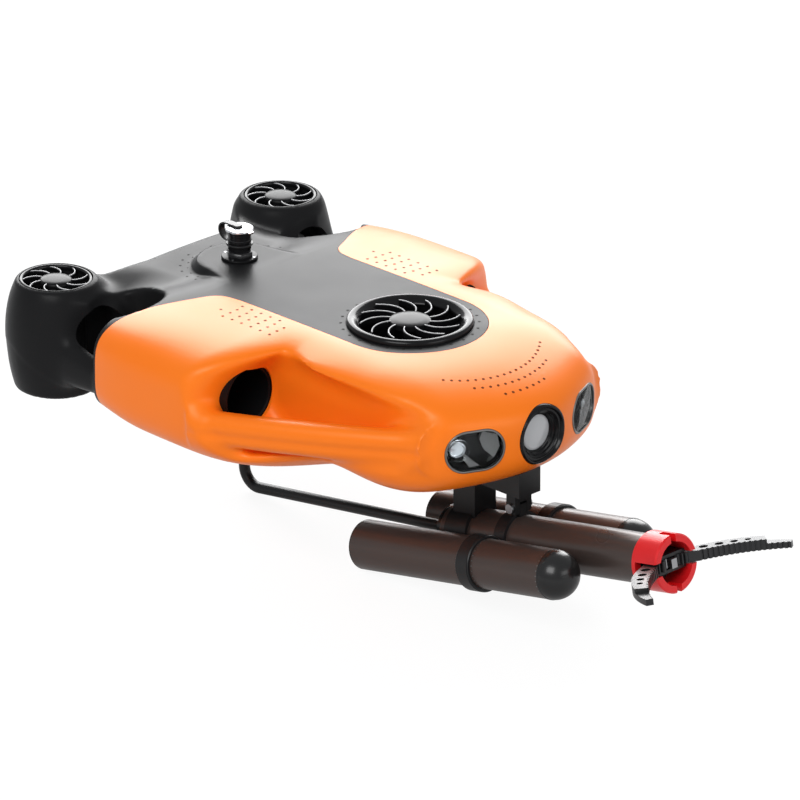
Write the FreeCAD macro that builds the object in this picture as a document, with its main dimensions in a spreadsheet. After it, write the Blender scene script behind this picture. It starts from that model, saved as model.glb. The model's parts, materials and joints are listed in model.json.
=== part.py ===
"""Underwater inspection vehicle with a gripper arm, built as a FreeCAD document.

Every piece is drawn in the hull frame: X forward, Y to port, Z up, with the origin on the axis of the
front thruster at the level of its bezel. The arm's pieces are drawn in the arm frame, whose X runs along
the arm. One placement then takes each frame to the row frame, which stands on the floor under the
middle of the vehicle. All lengths are in millimetres.
"""

import FreeCAD, Part
import math
import os

import Sketcher
from FreeCAD import Placement, Rotation, Vector

SIZES = [
    # row frame
    ("frame_x", -14.0, "front thruster axis, ahead of the row origin"),
    ("floor_drop", 188.5, "front bezel above the floor"),
    # hull outline in plan, each point as X and half width
    ("nose_x", 138.0, "tip of the nose"),
    ("brow_x", 123.5, "outline at the lamps"),
    ("brow_y", 56.6, "half width at the lamps"),
    ("cheek_x", 101.0, "outline behind the lamps"),
    ("cheek_y", 90.0, "half width behind the lamps"),
    ("flank_x", 48.0, "outline beside the front thruster"),
    ("flank_y", 112.0, "half width beside the front thruster"),
    ("shoulder_x", 0.0, "outline at the front thruster axis"),
    ("shoulder_y", 135.0, "half width at the front thruster axis"),
    ("beam_x", -45.0, "station of the full beam"),
    ("beam_y", 153.0, "half width at the full beam"),
    ("hip_x", -110.0, "outline at the hips"),
    ("hip_y", 156.5, "half width at the hips"),
    ("waist_x", -175.0, "outline at the rear rim"),
    ("waist_y", 151.0, "half width at the rear rim"),
    ("stern_x", -250.0, "outline at the tail arms"),
    ("stern_y", 118.0, "half width at the tail arms"),
    ("quarter_x", -305.0, "closing point of the outline"),
    ("quarter_y", 72.0, "half width at the closing point"),
    ("close_x", -330.0, "rear end of the outline before it is trimmed"),
    # hull in height
    ("hull_top", -4.0, "deck"),
    ("hull_bottom", -100.0, "keel"),
    ("hull_power", 4.0, "fullness of the section"),
    ("nose_fall", 13.0, "deck falls by this at the nose"),
    ("nose_rise", 9.0, "keel rises by this at the nose"),
    ("rise_start", 40.0, "X where the nose starts to taper in height"),
    ("tail_fall", 4.0, "deck falls by this at the tail"),
    ("tail_rise", 30.0, "keel rises by this at the tail"),
    ("fall_start", -130.0, "X where the tail starts to taper in height"),
    ("tail_x", -238.0, "rear edge of the tail"),
    ("wall", 3.5, "shell wall"),
    ("core_r", 20.0, "flat cap on the section's axis"),
    # deck panel and rear rim
    ("deck_half", 57.5, "half width of the deck panel and its nose radius"),
    ("rim_x", -141.0, "rear edge of the shells beside the deck panel"),
    ("rim_slant", 27.0, "how far the rear edge runs back at the side"),
    ("rim_reach", 162.0, "half width that the rear edge is drawn to"),
    ("rim_depth", 12.0, "depth of the rear rim"),
    ("bite_x", -203.0, "centre of the scallop between hull and pod"),
    ("bite_y", 104.0, "centre of the scallop between hull and pod"),
    ("bite_r", 32.0, "radius of the scallop"),
    ("ledge_x", -178.0, "tether ledge and connector"),
    ("ledge_r", 31.0, "round end of the tether ledge"),
    ("ledge_front", -128.0, "where the ledge meets the deck"),
    ("ledge_z", -5.2, "top of the ledge"),
    ("ledge_depth", 11.0, "depth of the ledge prism"),
    # side recess, handle and side duct
    ("recess_y", 87.0, "inner wall of the side recess"),
    ("recess_x", -31.0, "centre of the recess's rear round"),
    ("recess_z", -47.0, "height of the recess's rear round"),
    ("recess_r", 30.0, "rear round of the recess"),
    ("recess_tip_x", 78.0, "centre of the recess's front round"),
    ("recess_tip_z", -47.0, "height of the recess's front round"),
    ("recess_tip_r", 16.0, "front round of the recess"),
    ("recess_fillet", 12.0, "round between the recess's wall and sides"),
    ("handle_rise", 10.0, "front root above the rear root"),
    ("handle_z", -58.5, "height of the handle's rear root"),
    ("handle_in", 10.5, "handle axis inside the outline"),
    ("handle_thick", 19.0, "handle across"),
    ("handle_tall", 24.0, "handle in height"),
    ("side_y", 109.0, "side duct axis"),
    ("side_r", 21.0, "side duct bore"),
    ("duct_wall", 2.5, "wall of every duct"),
    ("side_front", -57.0, "front end of the side duct"),
    ("side_rear", -166.0, "rear end of the side duct"),
    # front thruster
    ("front_r", 39.0, "front duct bore"),
    ("bezel_r", 47.0, "front bezel at its foot"),
    ("bezel_top_r", 43.0, "front bezel at its top"),
    ("bezel_in", 37.0, "inside of the front bezel"),
    ("bezel_z", -5.5, "foot of the front bezel"),
    ("flange_thick", 3.0, "flange of the front duct"),
    ("front_hub", 15.6, "hub of the front guard"),
    ("front_spokes", 12, "spokes of the front guard"),
    ("front_tip", 36.0, "front propeller"),
    # rear pods
    ("pod_x", -253.0, "pod axis"),
    ("pod_y", 116.0, "pod axis"),
    ("pod_top", -9.5, "top of the pod"),
    ("pod_tall", 84.5, "height of the pod"),
    ("pod_r", 37.3, "fullest radius of the pod"),
    ("pod_lip", 30.0, "radius at the top of the pod"),
    ("pod_foot", 30.5, "radius at the bottom of the pod"),
    ("pod_bore", 24.5, "bore of the pod"),
    ("pod_guard_r", 27.5, "outside of a pod guard"),
    ("pod_hub", 12.5, "hub of a pod guard"),
    ("pod_spokes", 9, "spokes of a pod guard"),
    ("pod_tip", 23.0, "pod propeller"),
    ("wing_y", 125.0, "middle of the wing from hull to pod"),
    ("wing_thick", 15.0, "wing across"),
    ("wing_tall", 24.0, "wing in height"),
    ("wing_z", -61.0, "middle of the wing at the hull"),
    # guards, motors and propellers
    ("guard_thick", 3.2, "height of guard rings and spokes"),
    ("spoke_width", 1.5, "width of a guard spoke"),
    ("guard_gap", 0.2, "gap round a guard in its seat"),
    ("motor_r", 12.0, "thruster motor"),
    ("motor_tall", 20.0, "length of a thruster motor"),
    ("shaft_r", 2.5, "motor shaft"),
    ("shaft_run", 0.05, "running clearance on shafts and pins"),
    ("prop_hub", 8.5, "hub of a propeller"),
    ("prop_tall", 13.0, "length of a propeller hub"),
    ("prop_gap", 0.5, "gap between motor and propeller"),
    ("blade_thick", 1.7, "thickness of a blade at its root"),
    # camera and lamps
    ("eye_z", -52.5, "height of the camera and lamps"),
    ("eye_r", 23.0, "camera bezel"),
    ("eye_front", 141.5, "front of the camera bezel"),
    ("eye_long", 30.0, "length of the camera bezel"),
    ("lens_r", 12.6, "camera lens"),
    ("lens_back", 9.0, "lens behind the front of the bezel"),
    ("lens_thick", 4.0, "thickness of the lens"),
    ("lamp_yaw", 28.4, "degrees that a lamp looks outwards"),
    ("lamp_wide", 47.0, "lamp bezel across"),
    ("lamp_tall", 33.0, "lamp bezel in height"),
    ("lamp_out", 3.5, "front of a lamp bezel beyond the outline"),
    ("lamp_deep", 22.0, "depth of a lamp"),
    ("lamp_rim", 2.2, "rim of a lamp bezel"),
    ("glass_thick", 3.0, "lamp window"),
    # tether connector
    ("plug_flange_r", 13.7, "connector flange"),
    ("plug_flange", 4.5, "thickness of the flange"),
    ("plug_hex", 18.0, "hexagon across its flats"),
    ("plug_hex_tall", 7.0, "height of the hexagon"),
    ("plug_r", 7.4, "connector socket"),
    ("plug_bore", 5.0, "socket bore"),
    ("plug_tall", 19.0, "height of the socket above the ledge"),
    ("cap_r", 9.0, "dust cap body"),
    ("cap_top_r", 10.3, "dust cap plate"),
    ("cap_plate", 2.0, "thickness of the cap plate"),
    ("cap_body", 9.0, "height of the cap body"),
    ("strap_thick", 1.4, "cap strap"),
    ("strap_wide", 6.0, "cap strap"),
    ("strap_reach", 20.0, "loop of the strap, from the connector's axis"),
    # arm
    ("arm_x", 49.0, "rear end of the arm tube"),
    ("arm_z", -153.6, "height of the arm axis there"),
    ("arm_pitch", 10.5, "degrees that the arm points up"),
    ("tube_r", 18.5, "arm tube and float tubes"),
    ("tube_wall", 2.0, "wall of the tubes"),
    ("arm_long", 202.0, "length of the arm tube"),
    ("cap_deep", 6.0, "plug depth of the tube caps"),
    ("cap_rim", 3.0, "rim of the tube caps"),
    ("float_y", 39.8, "float tube axis"),
    ("float_drop", 6.6, "float tubes below the arm axis"),
    ("float_rear", -55.0, "rear end of a float tube along the arm"),
    ("float_front", 140.0, "front end of a float tube along the arm"),
    ("band_u", 64.0, "yoke band along the arm"),
    ("band_wide", 11.0, "width of the yoke bands"),
    ("band_thick", 2.6, "thickness of the yoke bands"),
    ("hanger_u", 18.0, "rear hanger along the arm"),
    ("hanger_long", 22.0, "rear hanger along the hull"),
    ("hanger_wide", 22.0, "rear hanger across"),
    ("fork_x", 112.0, "front end of the hanger plate"),
    ("fork_long", 9.0, "front hanger along the hull"),
    ("fork_wide", 17.0, "front hanger across"),
    ("fork_slot", 7.0, "slot of the front hanger"),
    ("fork_pin_r", 2.0, "pin of the front hanger"),
    ("pad_thick", 4.0, "plate that the hangers share"),
    ("stay_r", 4.2, "stay rod"),
    ("stay_x", -174.0, "upright of the stay rod"),
    ("stay_bend", 14.0, "bend of the stay rod"),
    ("stay_sink", 2.1, "corner of the stay's centreline below the rod's own rest on the floor"),
    # gripper, along the arm from the front end of the tube
    ("collar_r", 22.0, "red collar"),
    ("collar_in", 16.2, "inside of the collar"),
    ("collar_long", 24.0, "length of the collar"),
    ("jaw_slot", 10.0, "side slots of the collar"),
    ("rib_slot", 5.0, "top and bottom slots of the collar"),
    ("slot_deep", 20.5, "depth of the side slots"),
    ("pivot_u", 13.0, "jaw pivots ahead of the tube"),
    ("pivot_v", 12.0, "jaw pivots beside the axis"),
    ("module", 1.5, "gear module of rack and jaws"),
    ("teeth", 10, "teeth of a full jaw gear"),
    ("backlash", 0.35, "thinning of every tooth"),
    ("jaw_thick", 8.0, "thickness of a jaw"),
    ("jaw_long", 84.0, "reach of a jaw from its pivot"),
    ("jaw_open", 54.0, "degrees that each jaw stands open"),
    ("jaw_gap", 0.5, "inner face of a closed jaw beside the axis"),
    ("cheek_thick", 2.4, "cheek plates beside the jaws"),
    ("cheek_gap", 0.4, "gap between a jaw and a cheek plate"),
    ("pin_r", 1.6, "jaw pins"),
    ("screw_r", 1.5, "lead screw"),
    ("rack_front", 22.0, "front end of the rack"),
    ("rack_rear", 0.0, "rear end of the rack teeth"),
    ("rack_run", 7.5, "radius of the way through the frame for the rack"),
    # inside the hull
    ("bay_front", -50.0, "front of the electronics bay"),
    ("bay_long", 84.0, "length of the electronics bay"),
    ("bay_wide", 136.0, "width of the electronics bay"),
    ("bay_tall", 34.0, "height of the electronics bay"),
    ("battery_tall", 46.0, "height of the battery pack"),
    ("bay_lift", 1.0, "battery pack above the shell's floor"),
    ("bay_round", 10.0, "upright edges of the battery pack and the bay"),
    ("seat_gap", 0.3, "small gap where pieces sit beside each other"),
]

doc = FreeCAD.newDocument("inspection_vehicle")
sheet = doc.addObject("Spreadsheet::Sheet", "sizes")
for row, (alias, value, note) in enumerate(SIZES, start=1):
    sheet.set(f"A{row}", note)
    sheet.set(f"B{row}", str(value))
    sheet.setAlias(f"B{row}", alias)
doc.recompute()


def size(formula):
    """The value of a formula over the sheet's names."""
    return float(sheet.evalExpression(formula))


class Sizes:
    """Reads a named size, as in s.wall."""

    def __getattr__(self, alias):
        self.__dict__[alias] = size(alias)
        return self.__dict__[alias]


s = Sizes()
X, Y, Z = Vector(1, 0, 0), Vector(0, 1, 0), Vector(0, 0, 1)
HULL = Placement(Vector(s.frame_x, 0, s.floor_drop), Rotation())
ARM = HULL * Placement(Vector(s.arm_x, 0, s.arm_z), Rotation(Y, -s.arm_pitch))
GRIP = ARM * Placement(Vector(s.arm_long, 0, 0), Rotation())
SIDES = (("port", 1), ("starboard", -1))


def at(x=0, y=0, z=0, frame=HULL, turn=None):
    """A placement at a point of a frame."""
    return frame * Placement(Vector(x, y, z), turn or Rotation())


# ---------------------------------------------------------------- document helpers

def bound(thing, name, formula):
    """Ties one property of an object to a formula over the sheet."""
    thing.setExpression(name, formula.replace("$", "sizes."))


def value_of(formula):
    """The value of a formula whose names are marked with $."""
    return size(formula.replace("$", ""))


def new_body(name, place):
    """An empty PartDesign body with a name and a place."""
    body = doc.addObject("PartDesign::Body", name)
    body.Label = name
    body.Placement = place
    return body


def origin_of(body, role):
    """A plane or axis of the body's own origin."""
    return next(f for f in body.Origin.OriginFeatures if f.Role == role)


def arc_middle(start, end, radius):
    """The middle of the arc that bulges to the left of start to end, or right if radius is negative."""
    chord = end - start
    half = chord.Length / 2
    rise = abs(radius) - math.sqrt(max(radius * radius - half * half, 0))
    left = Vector(-chord.y, chord.x, 0).normalize()
    return (start + end) / 2 + left * math.copysign(rise, radius)


def draw_outline(sketch, corners):
    """Draws a closed outline whose corners are bound to formulas.

    A corner is (x, y) after a straight edge, or (x, y, radius) after an arc from the corner before it.
    """
    points = [Vector(value_of(c[0]), value_of(c[1]), 0) for c in corners]
    edges = []
    for i, corner in enumerate(corners):
        start, end = points[i - 1], points[i]
        if len(corner) == 3:
            middle = arc_middle(start, end, value_of(corner[2]))
            edge = sketch.addGeometry(Part.Arc(start, middle, end), False)
            first = 1 if (sketch.getPoint(edge, 1) - start).Length < 1e-6 else 2
            ends = (first, 3 - first)
            fixed = sketch.addConstraint(Sketcher.Constraint("Radius", edge, abs(value_of(corner[2]))))
            bound(sketch, f"Constraints[{fixed}]", f"abs({corner[2]})")
        else:
            edge = sketch.addGeometry(Part.LineSegment(start, end), False)
            ends = (1, 2)
        edges.append((edge, ends))
    for i, (edge, ends) in enumerate(edges):
        following, next_ends = edges[(i + 1) % len(edges)]
        sketch.addConstraint(Sketcher.Constraint("Coincident", edge, ends[1], following, next_ends[0]))
        for kind, formula in (("DistanceX", corners[i][0]), ("DistanceY", corners[i][1])):
            fixed = sketch.addConstraint(Sketcher.Constraint(kind, -1, 1, edge, ends[1], value_of(formula)))
            bound(sketch, f"Constraints[{fixed}]", formula)


def draw_circle(sketch, x, y, radius):
    """Draws a circle whose centre and radius are bound to formulas."""
    circle = Part.Circle(Vector(value_of(x), value_of(y), 0), Z, value_of(radius))
    edge = sketch.addGeometry(circle, False)
    for kind, formula in (("DistanceX", x), ("DistanceY", y)):
        fixed = sketch.addConstraint(Sketcher.Constraint(kind, -1, 1, edge, 3, value_of(formula)))
        bound(sketch, f"Constraints[{fixed}]", formula)
    fixed = sketch.addConstraint(Sketcher.Constraint("Radius", edge, value_of(radius)))
    bound(sketch, f"Constraints[{fixed}]", radius)


def new_sketch(body, plane, outlines=(), circles=(), lift=None):
    """A sketch on one of the body's own planes, lifted off it by a formula."""
    sketch = body.newObject("Sketcher::SketchObject", body.Name + "_sketch")
    sketch.AttachmentSupport = [(origin_of(body, plane), "")]
    sketch.MapMode = "FlatFace"
    for corners in outlines:
        draw_outline(sketch, corners)
    for circle in circles:
        draw_circle(sketch, *circle)
    if lift:
        bound(sketch, "AttachmentOffset.Base.z", lift)
    return sketch


def pad(body, sketch, length, both_ways=False):
    """Adds the sketch's outline to the body, extruded by a formula."""
    feature = body.newObject("PartDesign::Pad", body.Name + "_pad")
    feature.Profile = sketch
    feature.Midplane = both_ways
    bound(feature, "Length", length)
    return feature


def pocket(body, sketch, length, both_ways=False, reverse=False):
    """Cuts the sketch's outline out of the body, to a depth given by a formula."""
    feature = body.newObject("PartDesign::Pocket", body.Name + "_pocket")
    feature.Profile = sketch
    feature.Midplane = both_ways
    feature.Reversed = reverse
    bound(feature, "Length", length)
    return feature


def ring_of(body, feature, count):
    """Repeats a feature round the body's Z axis."""
    pattern = body.newObject("PartDesign::PolarPattern", body.Name + "_pattern")
    pattern.Originals = [feature]
    pattern.Axis = (origin_of(body, "Z_Axis"), [""])
    pattern.Angle = 360
    bound(pattern, "Occurrences", count)
    body.Tip = pattern
    return pattern


def turned(name, place, corners):
    """A turned piece: corners are (radius, height) round the body's Z axis."""
    body = new_body(name, place)
    sketch = new_sketch(body, "XZ_Plane", [corners])
    feature = body.newObject("PartDesign::Revolution", name + "_turned")
    feature.Profile = sketch
    feature.ReferenceAxis = (sketch, ["V_Axis"])
    feature.Angle = 360
    return body


def shaped(name, shape, frame=HULL):
    """A piece whose shape comes from Part's own functions."""
    piece = doc.addObject("Part::Feature", name)
    piece.Label = name
    piece.Shape = shape
    piece.Placement = frame * shape.Placement
    return piece


# ---------------------------------------------------------------- hull surfaces

def outline_points():
    """The hull's outline in plan, from the nose along port to the tail and back along starboard."""
    port = [(s.nose_x, 0), (s.brow_x, s.brow_y), (s.cheek_x, s.cheek_y), (s.flank_x, s.flank_y),
            (s.shoulder_x, s.shoulder_y), (s.beam_x, s.beam_y), (s.hip_x, s.hip_y),
            (s.waist_x, s.waist_y), (s.stern_x, s.stern_y), (s.quarter_x, s.quarter_y), (s.close_x, 0)]
    return port + [(x, -y) for x, y in port[-2:0:-1]]


def taper(x, start, end):
    """0 up to start, then growing as a parabola to 1 at end and a little beyond."""
    return min(1.5, max(0.0, (x - start) / (end - start)) ** 2)


def contour(reach, lift, inset):
    """One level of the hull: the outline drawn in by reach and lifted by a share of the half height."""
    middle = (s.hull_top + s.hull_bottom) / 2
    half = (s.hull_top - s.hull_bottom) / 2 - inset
    points = []
    for x, y in outline_points():
        keep = (1 - inset / math.hypot(x, y)) * reach
        x, y = x * keep, y * keep
        front, rear = taper(x, s.rise_start, s.nose_x), taper(x, s.fall_start, s.tail_x)
        fall = s.nose_fall * front + s.tail_fall * rear
        rise = s.nose_rise * front + s.tail_rise * rear
        points.append(Vector(x, y, middle + half * lift - (fall if lift > 0 else -rise) * abs(lift)))
    return points


def cap_ring(z):
    """The small flat ring that closes the hull's surface on the front thruster's axis."""
    share = s.core_r / s.beam_y
    return [Vector(x * share, y * share, z) for x, y in outline_points()]


def knots_along(points):
    """Knots spaced as the points are."""
    knots = [0.0]
    for here, following in zip(points, points[1:]):
        knots.append(knots[-1] + (following - here).Length)
    return knots


def skin_face(rows):
    """A smooth closed face through rows of points, one row for each level of the hull."""
    up = knots_along([row[5] for row in rows])
    middle = rows[len(rows) // 2]
    around = knots_along(middle + middle[:1])
    columns = []
    for points in zip(*rows):
        column = Part.BSplineCurve()
        column.interpolate(Points=list(points), Parameters=up)
        columns.append(column)
    net = []
    for poles in zip(*(column.getPoles() for column in columns)):
        ring = Part.BSplineCurve()
        ring.interpolate(Points=list(poles), PeriodicFlag=True, Parameters=around)
        net.append(ring)
    grid = [list(poles) for poles in zip(*(ring.getPoles() for ring in net))]
    surface = Part.BSplineSurface()
    surface.buildFromPolesMultsKnots(
        grid, ring.getMultiplicities(), column.getMultiplicities(), ring.getKnots(), column.getKnots(),
        True, False, ring.Degree, column.Degree)
    return surface.toShape()


def hull_solid(inset=0.0):
    """The whole hull as one solid, or the space inside it at a distance from its surface."""
    power = 2 / s.hull_power
    rows = [cap_ring(s.hull_bottom + inset)]
    for angle in (-83, -70, -52, -33, -15, 0, 15, 33, 52, 70, 83):
        a = math.radians(angle)
        lift = math.copysign(abs(math.sin(a)) ** power, a)
        rows.append(contour(math.cos(a) ** power, lift, inset))
    rows.append(cap_ring(s.hull_top - inset))
    face = skin_face(rows)
    rings = [e for e in face.Edges if e.BoundBox.ZLength < 0.01]
    shell = Part.makeShell([face] + [Part.Face(Part.Wire([e])) for e in rings])
    shell.sewShape()
    solid = Part.makeSolid(shell)
    if solid.Volume < 0:
        solid.reverse()
    return solid


def prism(points, low, high):
    """An upright prism over a polygon of (x, y) points."""
    wire = Part.makePolygon([Vector(x, y, low) for x, y in points] + [Vector(*points[0], low)])
    return Part.Face(wire).extrude(Vector(0, 0, high - low))


def both(points):
    """A half outline and its mirror image, as one outline."""
    return points + [(x, -y) for x, y in points[::-1]]


def cylinder(radius, length, base, axis=Z):
    """A plain cylinder."""
    return Part.makeCylinder(radius, length, base, axis)


def mirrored(shape, side):
    """The shape on port, or its mirror image on starboard."""
    return shape if side > 0 else shape.mirror(Vector(), Y)


def recess_tool(grow):
    """The side recess on port, or with grow the block that its wall is cut from."""
    big, small = s.recess_r + grow, s.recess_tip_r + grow
    rear, front = Vector(s.recess_x, 0, s.recess_z), Vector(s.recess_tip_x, 0, s.recess_tip_z)
    run = front - rear
    lean = math.asin((big - small) / run.Length) + math.atan2(run.z, run.x)
    fall = math.asin((big - small) / run.Length) - math.atan2(run.z, run.x)
    up = Vector(math.sin(lean), 0, math.cos(lean))
    down = Vector(math.sin(fall), 0, -math.cos(fall))
    edges = [
        Part.LineSegment(rear + up * big, front + up * small),
        Part.Arc(front + up * small, front + X * small, front + down * small),
        Part.LineSegment(front + down * small, rear + down * big),
        Part.Arc(rear + down * big, rear - X * big, rear + up * big),
    ]
    face = Part.Face(Part.Wire([e.toShape() for e in edges]))
    inner = s.recess_y - grow
    block = face.extrude(Y * (s.rim_reach + s.recess_r - inner))
    block.translate(Y * inner)
    inner_edges = [e for e in block.Edges if abs(e.BoundBox.YMax - inner) < 1e-6]
    return block.makeFillet(s.recess_fillet + grow, inner_edges)


def lamp_place(side):
    """The frame of a lamp: X out of the hull along its line of sight."""
    out = Rotation(Z, side * s.lamp_yaw)
    return Placement(Vector(s.brow_x, side * s.brow_y, s.eye_z), out)


def stadium(width, height, low, high):
    """A rounded slot across Y, from low to high along X."""
    half = (width - height) / 2
    r = height / 2
    edges = [
        Part.LineSegment(Vector(low, -half, r), Vector(low, half, r)),
        Part.Arc(Vector(low, half, r), Vector(low, half + r, 0), Vector(low, half, -r)),
        Part.LineSegment(Vector(low, half, -r), Vector(low, -half, -r)),
        Part.Arc(Vector(low, -half, -r), Vector(low, -half - r, 0), Vector(low, -half, r)),
    ]
    return Part.Face(Part.Wire([e.toShape() for e in edges])).extrude(X * (high - low))


def placed(shape, place):
    """A copy of a shape, moved to a placement."""
    copy = shape.copy()
    copy.Placement = place
    return copy


def rim_line():
    """The rear edge of the shells in plan, on port."""
    return [(s.rim_x, 0), (s.rim_x, s.deck_half), (s.rim_x - s.rim_slant, s.rim_reach)]


def pod_blank():
    """A rear pod without its bore, on port."""
    base = Vector(s.pod_x, s.pod_y, s.pod_top - s.pod_tall)
    foot, lip = base + X * s.pod_foot, base + X * s.pod_lip + Z * s.pod_tall
    belly = base + X * s.pod_r + Z * s.pod_tall * 0.48
    edges = [
        Part.Arc(foot, belly, lip).toShape(),
        Part.makeLine(lip, base + Z * s.pod_tall),
        Part.makeLine(base + Z * s.pod_tall, base),
        Part.makeLine(base, foot),
    ]
    return Part.Face(Part.Wire(edges)).revolve(base, Z, 360)


def tail_solid(hull, pod):
    """The black tail: rear rim, tail deck and the arms that meet the pods."""
    rim = rim_line()
    back = rim[2][0] - s.rim_depth
    plan = rim + [(back, s.rim_reach), (back, s.bite_y), (s.pod_x, s.bite_y),
                  (s.pod_x - s.rim_depth / 2, s.pod_y - s.pod_lip), (s.tail_x - 2, s.deck_half), (s.tail_x, 0)]
    low, high = s.hull_bottom - 20, s.hull_top + 20
    tail = prism(both(plan[1:-1]), low, high).common(hull)
    for _, side in SIDES:
        bite = cylinder(s.bite_r, high - low, Vector(s.bite_x, side * s.bite_y, low))
        tail = tail.cut(bite).cut(mirrored(pod, side))
        duct = cylinder(s.side_r + s.duct_wall, 80, Vector(s.side_rear - 40, side * s.side_y, s.recess_z), X)
        tail = tail.cut(duct)
    return max(tail.Solids, key=lambda solid: solid.Volume)


def deck_plan(grow=0.0):
    """The deck panel's outline as an upright block: straight sides and a round front."""
    half = s.deck_half + grow
    low, high = s.eye_z, s.hull_top + 20
    back = s.rim_x - grow
    block = Part.makeBox(-back, 2 * half, high - low, Vector(back, -half, low))
    return block.fuse(cylinder(half, high - low, Vector(0, 0, low))).removeSplitter()


def ledge_block():
    """The round-ended ledge that carries the tether connector."""
    low = s.ledge_z - s.ledge_depth
    length = s.ledge_front - s.ledge_x
    block = Part.makeBox(length, 2 * s.ledge_r, s.ledge_depth, Vector(s.ledge_x, -s.ledge_r, low))
    return block.fuse(cylinder(s.ledge_r, s.ledge_depth, Vector(s.ledge_x, 0, low))).removeSplitter()


def shells_blank(hull):
    """Both orange shells in one: the hull's skin with the walls of the two side recesses."""
    skin = hull.cut(hull_solid(s.wall))
    for _, side in SIDES:
        skin = skin.fuse(mirrored(recess_tool(s.wall), side).common(hull))
    for _, side in SIDES:
        skin = skin.cut(mirrored(recess_tool(0), side))
        duct = cylinder(s.side_r + s.duct_wall, s.side_front - s.side_rear + 20,
                        Vector(s.side_rear - 20, side * s.side_y, s.recess_z), X)
        skin = skin.cut(duct)
        skin = skin.cut(placed(stadium(s.lamp_wide, s.lamp_tall, -s.lamp_deep, 30), lamp_place(side)))
    skin = skin.cut(cylinder(s.eye_r, 60, Vector(s.eye_front - s.eye_long, 0, s.eye_z), X))
    skin = skin.cut(cylinder(s.front_r + s.duct_wall, 300, Vector(0, 0, -200)))
    rim = rim_line()
    behind = rim[1:] + [(s.close_x - 10, s.rim_reach)]
    return skin.cut(prism(both(behind), s.hull_bottom - 20, s.hull_top + 20))


def build_hull():
    """The shells, deck panel, tail and handles."""
    hull, pod = hull_solid(), pod_blank()
    tail = tail_solid(hull, pod)
    skin = shells_blank(hull)
    level = s.eye_z
    above = Part.makeBox(700, 400, 200, Vector(-400, -200, level))
    below = Part.makeBox(700, 400, 200, Vector(-400, -200, level - 200))
    upper = skin.common(above).cut(deck_plan())
    lower = skin.common(below)
    deck = hull.cut(hull_solid(s.wall)).common(deck_plan())
    deck = deck.fuse(ledge_block().cut(hull)).cut(tail)
    deck = deck.cut(cylinder(s.bezel_r + s.guard_gap, 60, Vector(0, 0, s.eye_z)))
    shaped("upper_shell", biggest(upper))
    shaped("lower_shell", biggest(lower))
    shaped("deck_panel", biggest(deck))
    shaped("tail_frame", tail)
    for name, side in SIDES:
        shaped("handle_" + name, biggest(mirrored(handle_solid(skin), side)))
    return hull, tail, pod


def biggest(shape):
    """The largest solid of a shape."""
    return max(shape.Solids, key=lambda solid: solid.Volume)


def handle_solid(skin):
    """The grab handle on port: a bar across the side recess, trimmed where it meets the shells."""
    def inside(x, y):
        keep = 1 - s.handle_in / math.hypot(x, y)
        return x * keep, y * keep
    rear = Vector(*inside(s.beam_x - 10, s.beam_y), s.handle_z)
    middle = Vector(*inside(s.flank_x - 14, s.flank_y + 6), s.handle_z + s.handle_rise / 2)
    front = Vector(*inside(s.cheek_x + 2, s.cheek_y), s.handle_z + s.handle_rise)
    path = Part.Wire([Part.Arc(rear, middle, front).toShape()])
    along = path.Edges[0].tangentAt(path.Edges[0].FirstParameter)
    section = Part.Ellipse(Vector(), s.handle_tall / 2, s.handle_thick / 2).toShape()
    section.rotate(Vector(), Z, 90)
    section.rotate(Vector(), X, 90)
    turn = Rotation(Vector(0, -1, 0), along)
    ring = Part.Wire([section])
    ring.Placement = Placement(rear, turn)
    bar = path.makePipeShell([ring], True, False)
    duct = cylinder(s.side_r + s.duct_wall + s.seat_gap, 20, Vector(s.side_front - 19, s.side_y, s.recess_z), X)
    return bar.common(recess_tool(0)).cut(skin).cut(duct)


# ---------------------------------------------------------------- thrusters

def spokes_and_hub(body, inner, hub, count, thick="$guard_thick"):
    """Adds a guard's curved spokes and domed hub to a body, on its XY plane."""
    reach = f"({inner} + 0.6)"
    root = f"({hub} - 0.8)"
    half = "$spoke_width / 2"
    bend = f"({inner} - {hub}) * 1.1"
    corners = [
        (root, f"-{half}"),
        (f"{reach} * cos(16)", f"{reach} * sin(16) - {half}", f"-({bend})"),
        (f"{reach} * cos(16)", f"{reach} * sin(16) + {half}"),
        (root, half, bend),
    ]
    spoke = pad(body, new_sketch(body, "XY_Plane", [corners]), thick)
    ring_of(body, spoke, count)
    sketch = new_sketch(body, "XZ_Plane", [[
        ("0", "0"), (hub, "0"), (hub, f"{thick} * 0.8"), (f"{hub} * 0.8", f"{thick} * 1.25"), ("0", f"{thick} * 1.25"),
    ]])
    dome = body.newObject("PartDesign::Revolution", body.Name + "_hub")
    dome.Profile = sketch
    dome.ReferenceAxis = (sketch, ["V_Axis"])
    dome.Angle = 360


def guard(name, place, outer, inner, hub, count):
    """A thruster guard: an outer ring, a domed hub and curved spokes between them."""
    body = new_body(name, place)
    pad(body, new_sketch(body, "XY_Plane", circles=[("0", "0", outer), ("0", "0", inner)]), "$guard_thick")
    spokes_and_hub(body, inner, hub, count)
    return body


def motor(name, place):
    """A thruster motor: a can with chamfered ends and its shaft, pointing down its Z axis."""
    return turned(name, place, [
        ("0", "0"), ("$motor_r - 1", "0"), ("$motor_r", "-1"), ("$motor_r", "1 - $motor_tall"),
        ("$motor_r - 1", "-$motor_tall"), ("$shaft_r", "-$motor_tall"),
        ("$shaft_r", "-$motor_tall - $prop_gap - $prop_tall + 2"), ("0", "-$motor_tall - $prop_gap - $prop_tall + 2"),
    ])


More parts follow.
